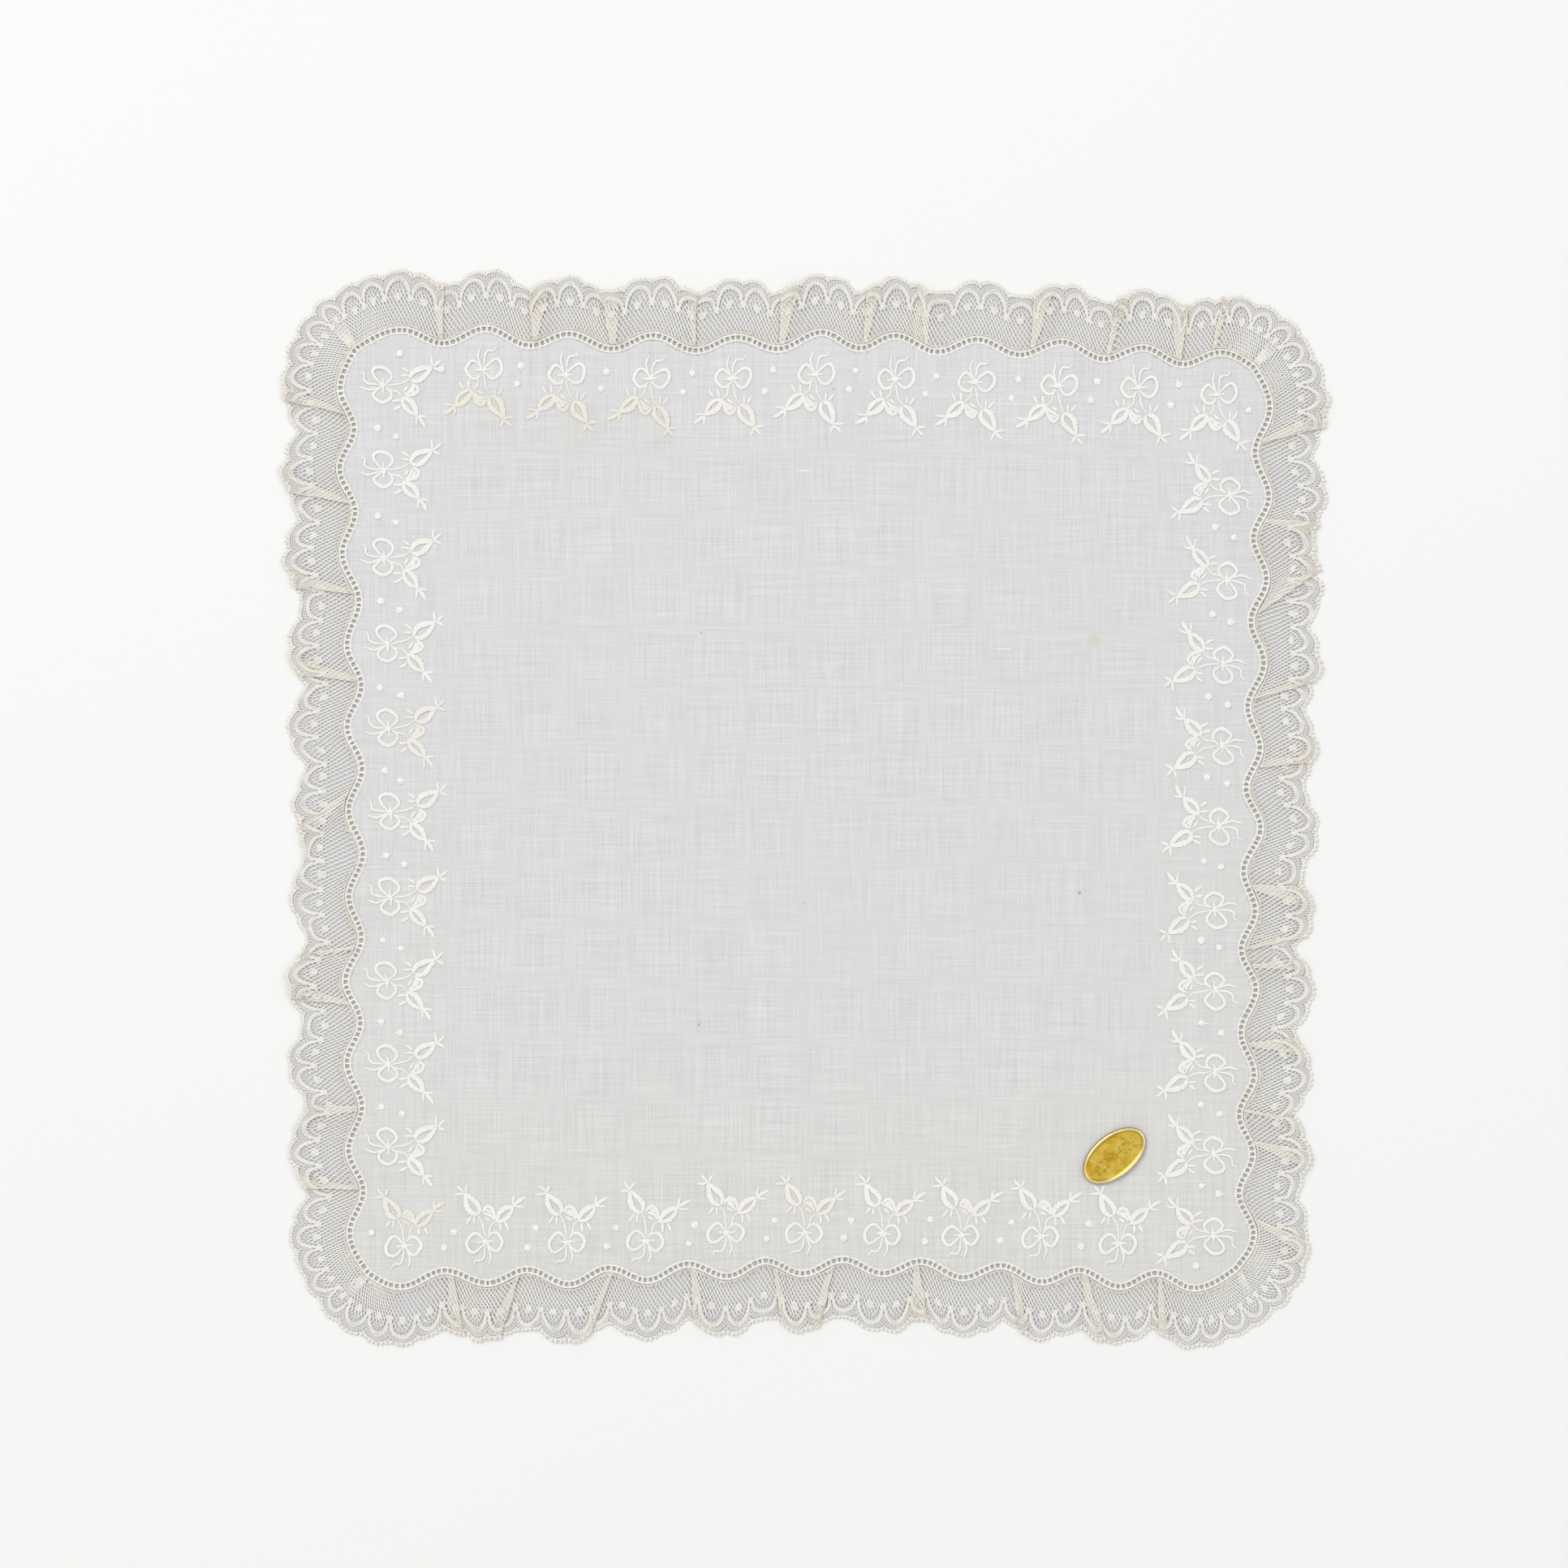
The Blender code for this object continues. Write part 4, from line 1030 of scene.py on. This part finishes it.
def make_embroidery(finish):
    """The satin-stitch motifs along the four sides, and the dots between them."""
    motifs, dots = Mesh(), Mesh()
    for quarter, (name, knots) in enumerate(MOTIFS.items()):
        face = rotation(-math.pi / 2 * quarter)
        knots = np.array(knots)
        for k, knot in enumerate(knots):
            tilt = face @ rotation(rng.normal(0, 0.03))
            yellow = YELLOWED.get((name, k), 0.06)
            for widest, *points in MOTIF:
                sew_stroke(motifs, widest, points, knot, tilt, yellow)
        spots = []
        out_way, back = face @ np.array([0, 1.0]), face @ np.array([-1.0, 0])
        for mid in (knots[:-1] + knots[1:]) / 2:
            spots.append(mid + out_way * 1.6 + rng.normal(0, 0.3, 2))
            spots.append(mid + back * 2.3 - out_way * 3.7 + rng.normal(0, 0.3, 2))
        if name == "top":
            spots += [np.array(dot) for dot in LONE_DOTS]
        for spot in spots:
            radius = rng.uniform(0.85, 1.05)
            domes(dots, on_lawn(spot[None], 0.0), (0.95 * radius, 0.85 * radius), 0.3, 8)
            lie = rng.uniform(0, math.pi)
            way, side = rotation(lie).T
            lanes = np.linspace(-0.85, 0.85, 6) * radius
            reach = np.sqrt(np.maximum(1.1 * radius ** 2 - lanes ** 2, 0.02)) * rng.normal(1, 0.12, 6)
            ends = [spot + side * lanes[:, None] + way * (reach * share)[:, None] for share in (-1, 0, 1)]
            flat = np.stack(ends, axis=1) + rng.normal(0, 0.05, (6, 3, 2))
            tubes(dots, on_lawn(flat, np.array([0.08, 0.36, 0.08])), (0.18, 0.24, 0.16), 0.1)
            if rng.random() < 0.35:
                way = face @ np.array([rng.uniform(-0.4, 0.4), 1.0])
                tail = np.array([spot + way * t for t in (0.4, 1.3, 2.1)]) + rng.normal(0, 0.15, (3, 2))
                tubes(dots, on_lawn(tail, 0.06)[None], (0.2, 0.16, 0.07), 0.12, sides=4)
    stray = np.array([(-21.3, -121.0), (-19.0, -122.0), (-17.4, -124.2), (-14.5, -126.7)])
    tubes(dots, on_lawn(stray, 0.12)[None], 0.09, 0.09, sides=4)
    for x, y in SLUBS:
        slub = np.array([(x + t, y + rng.normal(0, 0.04)) for t in (-2.8, -1.2, 0.4, 1.6, 2.8)])
        tubes(dots, on_lawn(slub, 0.0)[None], (0.06, 0.16, 0.2, 0.14, 0.05), 0.07, sides=4)
    return tuple(mesh.build(name, finish, "white_lawn", smooth_faces=False)
                 for mesh, name in ((motifs, "embroidered_motifs"), (dots, "embroidered_dots")))


# The seal, as in the part's source
SEAL_CENTRE = (87.5, -99.2)
SEAL_RADII = (10.3, 6.0)
SEAL_TURN = math.radians(39)
SEAL_STEPS = 96
SEAL_BEADS = 56
BEAD_INSET = 1.45
# The leaves on one half of its sprig: place and lean
SEAL_LEAVES = (
    (2.5, 0.9, 0.9), (2.9, -0.9, -0.9), (4.1, 0.95, 0.8),
    (4.5, -0.95, -0.8), (5.8, 0.6, 0.5), (6.1, -0.95, -0.6),
)


def make_seal(finish):
    """The oval foil seal: a corded rim, a beaded ring and a plain sprig, all pressed up from the foil."""
    base = CLOTH_TOP + GAP
    cos, sin = math.cos(SEAL_TURN), math.sin(SEAL_TURN)

    def place(points):
        points = np.asarray(points, float)
        x = SEAL_CENTRE[0] + points[..., 0] * cos - points[..., 1] * sin
        y = SEAL_CENTRE[1] + points[..., 0] * sin + points[..., 1] * cos
        return np.stack([x, y, base + points[..., 2]], axis=-1)

    out = Mesh()
    angle = 2 * math.pi * np.arange(SEAL_STEPS) / SEAL_STEPS
    # Rings from the edge inwards: inset, height, how dark each is (the dark edge, and painted shade in the
    # groove inside the rim) and how much painted highlight each has along the rim
    profile = (
        (0.0, -0.38, 0.9, 0.0), (0.0, 0.42, 0.9, 0.0), (0.2, 0.7, 0.0, 0.5), (0.55, 0.8, 0.0, 0.8),
        (0.85, 0.7, 0.1, 0.3), (1.0, 0.5, 0.6, 0.0), (1.6, 0.46, 0.0, 0.0), (3.0, 0.5, 0.0, 0.0),
        (4.6, 0.54, 0.0, 0.0),
    )
    rings = []
    for inset, high, _, _ in profile:
        x, y = (SEAL_RADII[0] - inset) * np.cos(angle), (SEAL_RADII[1] - inset) * np.sin(angle)
        rings.append(lifted(np.column_stack([x, y]), high))
    points = place(np.concatenate([*rings, [[0, 0, 0.56]]]))
    index = np.arange(len(profile) * SEAL_STEPS).reshape(len(profile), SEAL_STEPS)
    after = np.roll(index, -1, axis=1)
    quads = np.stack([index[:-1], after[:-1], after[1:], index[1:]], axis=-1).reshape(-1, 4)
    fan = np.stack([index[-1], after[-1], np.full(SEAL_STEPS, len(points) - 1)], axis=-1)
    per_ring = [SEAL_STEPS] * len(profile) + [1]
    dark, painted_highlight = (np.repeat([*column, 0.0], per_ring) for column in np.array(profile).T[2:])
    out.add(points, [quads, fan, index[0][None, ::-1]], tint=dark, along=painted_highlight)
    beads = 2 * math.pi * np.arange(SEAL_BEADS) / SEAL_BEADS
    across, up = (radius - BEAD_INSET for radius in SEAL_RADII)
    spots = lifted(np.column_stack([across * np.cos(beads), up * np.sin(beads)]), 0.44)
    domes(out, place(spots), (0.26, 0.26), 0.16, 8)
    # The sprig's stems, leaves and florets are tinted darker: painted shade on the pressed relief.
    for side in (-1, 1):
        stem = np.array([(side * x, y, 0.52) for x, y in ((1.5, -0.2), (3.2, 0.3), (5.0, 0.0), (6.9, -0.3))])
        tubes(out, place(stem)[None], (0.24, 0.22, 0.18, 0.12), 0.16, sides=6, tint=0.3)
        for x, y, lean in SEAL_LEAVES:
            leaf = place([[side * x, y * 1.25, 0.48]])
            domes(out, leaf, (0.95, 0.4), 0.2, 12, SEAL_TURN + side * lean, 0.32)
    for k in range(5):
        turn = 2 * math.pi * k / 5 + 0.3
        domes(out, place([[0.8 * math.cos(turn), 0.8 * math.sin(turn), 0.48]]), (0.66, 0.45), 0.24, 12,
              SEAL_TURN + turn, 0.3)
    domes(out, place([[0, 0, 0.5]]), (0.4, 0.4), 0.3, 10)
    return out.build("foil_oval", finish, "gold_foil")


def make_table(lace):
    """The grey table seen through the cloth.

    The photo is whitened round the handkerchief, so the table is a patch with the lace's outline.
    """
    phase = np.arange(0, lace.scallops, 1 / TABLE_MARKS)
    tips = 0.85 * np.abs(np.sin(PICOTS * math.pi * phase)) ** 0.8
    rim, _ = lace.lay(phase, edge_depth((phase % 1 - 0.5) * SCALLOP) - tips)
    middle = rim[:, :2].mean(axis=0)
    x, y = (rim[:, :2] - middle).T
    far = np.zeros(TABLE_STEPS)
    step = ((np.arctan2(y, x) / math.pi + 1) / 2 * TABLE_STEPS).astype(int) % TABLE_STEPS
    np.maximum.at(far, step, np.hypot(x, y))
    turn = (np.arange(TABLE_STEPS) + 0.5) / TABLE_STEPS * 2 * math.pi - math.pi
    far = np.interp(turn, turn[far > 0], far[far > 0], period=2 * math.pi)
    outline = middle + far[:, None] * np.column_stack([np.cos(turn), np.sin(turn)])
    mesh = bpy.data.meshes.new("table_patch")
    mesh.from_pydata((lifted(outline, TABLE_HIGH) * MM).tolist(), [], [list(range(TABLE_STEPS))])
    made, _, shader = nodes_of("grey_table")
    set_values(shader, {"Base Color": (0.655, 0.657, 0.68, 1), **MATT})
    mesh.materials.append(made)
    add_object("table_patch", mesh)


def make_stage():
    """The plain pale floor, the camera straight above and the soft studio light."""
    floor_mesh = bpy.data.meshes.new("floor")
    floor_mesh.from_pydata([(-3, -3, 0), (3, -3, 0), (3, 3, 0), (-3, 3, 0)], [], [(0, 1, 2, 3)])
    pale, tree, shader = nodes_of("pale_floor")
    cloudy = noise(tree, (6, 6, 6), 2.0)
    colour = mixed(tree, cloudy, (0.9, 0.9, 0.885, 1), (0.905, 0.905, 0.89, 1))
    tree.links.new(colour, shader.inputs["Base Color"])
    set_values(shader, MATT)
    floor_mesh.materials.append(pale)
    add_object("floor", floor_mesh)
    camera = add_object("camera", bpy.data.cameras.new("camera"))
    camera.data.sensor_width = 36.0
    camera.data.lens = 81.0
    camera.data.clip_start = 0.05
    camera.location = (-0.006, 0.006, 1.0)
    bpy.context.scene.camera = camera
    lights = (((-1.6, 1.6, 2.4), 2.0, 44.0), ((2.2, 0.5, 2.4), 2.6, 17.0))
    for k, (at, size, power) in enumerate(lights):
        light = add_object(f"soft_light_{k}", bpy.data.lights.new(f"soft_light_{k}", "AREA"))
        light.data.shape = "DISK"
        light.data.size = size
        light.data.energy = power
        light.location = at
        x, y, z = at
        light.rotation_euler = (math.atan2(math.hypot(x, y), z), 0, math.atan2(y, x) + math.pi / 2)
    world = bpy.data.worlds.new("pale_world")
    world.use_nodes = True
    set_values(world.node_tree.nodes["Background"], {"Color": (1, 1, 1, 1), "Strength": 0.66})
    bpy.context.scene.world = world
    bpy.context.scene.view_settings.view_transform = "Standard"


make_stage()
thread = thread_material("lace_thread", (0.89, 0.88, 0.85), (0.87, 0.828, 0.752))
cotton = thread_material("beading_cotton", (0.93, 0.915, 0.86), (0.86, 0.79, 0.66), stitch=0.5)
silk = thread_material("satin_stitch", (0.925, 0.917, 0.89), (0.865, 0.838, 0.755))
lace = Lace()
make_table(lace)
lace_pieces = make_lace(lace, thread)
lawn, lawn_flat, lawn_area = make_lawn(lawn_material())
cords, stitches = make_beading(cotton)
motifs, dots = make_embroidery(silk)
seal = make_seal(foil_material())
for piece, flat in lace_pieces:
    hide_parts("lace_edging")
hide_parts("beading")
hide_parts("lawn_panel")
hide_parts("foil_seal")
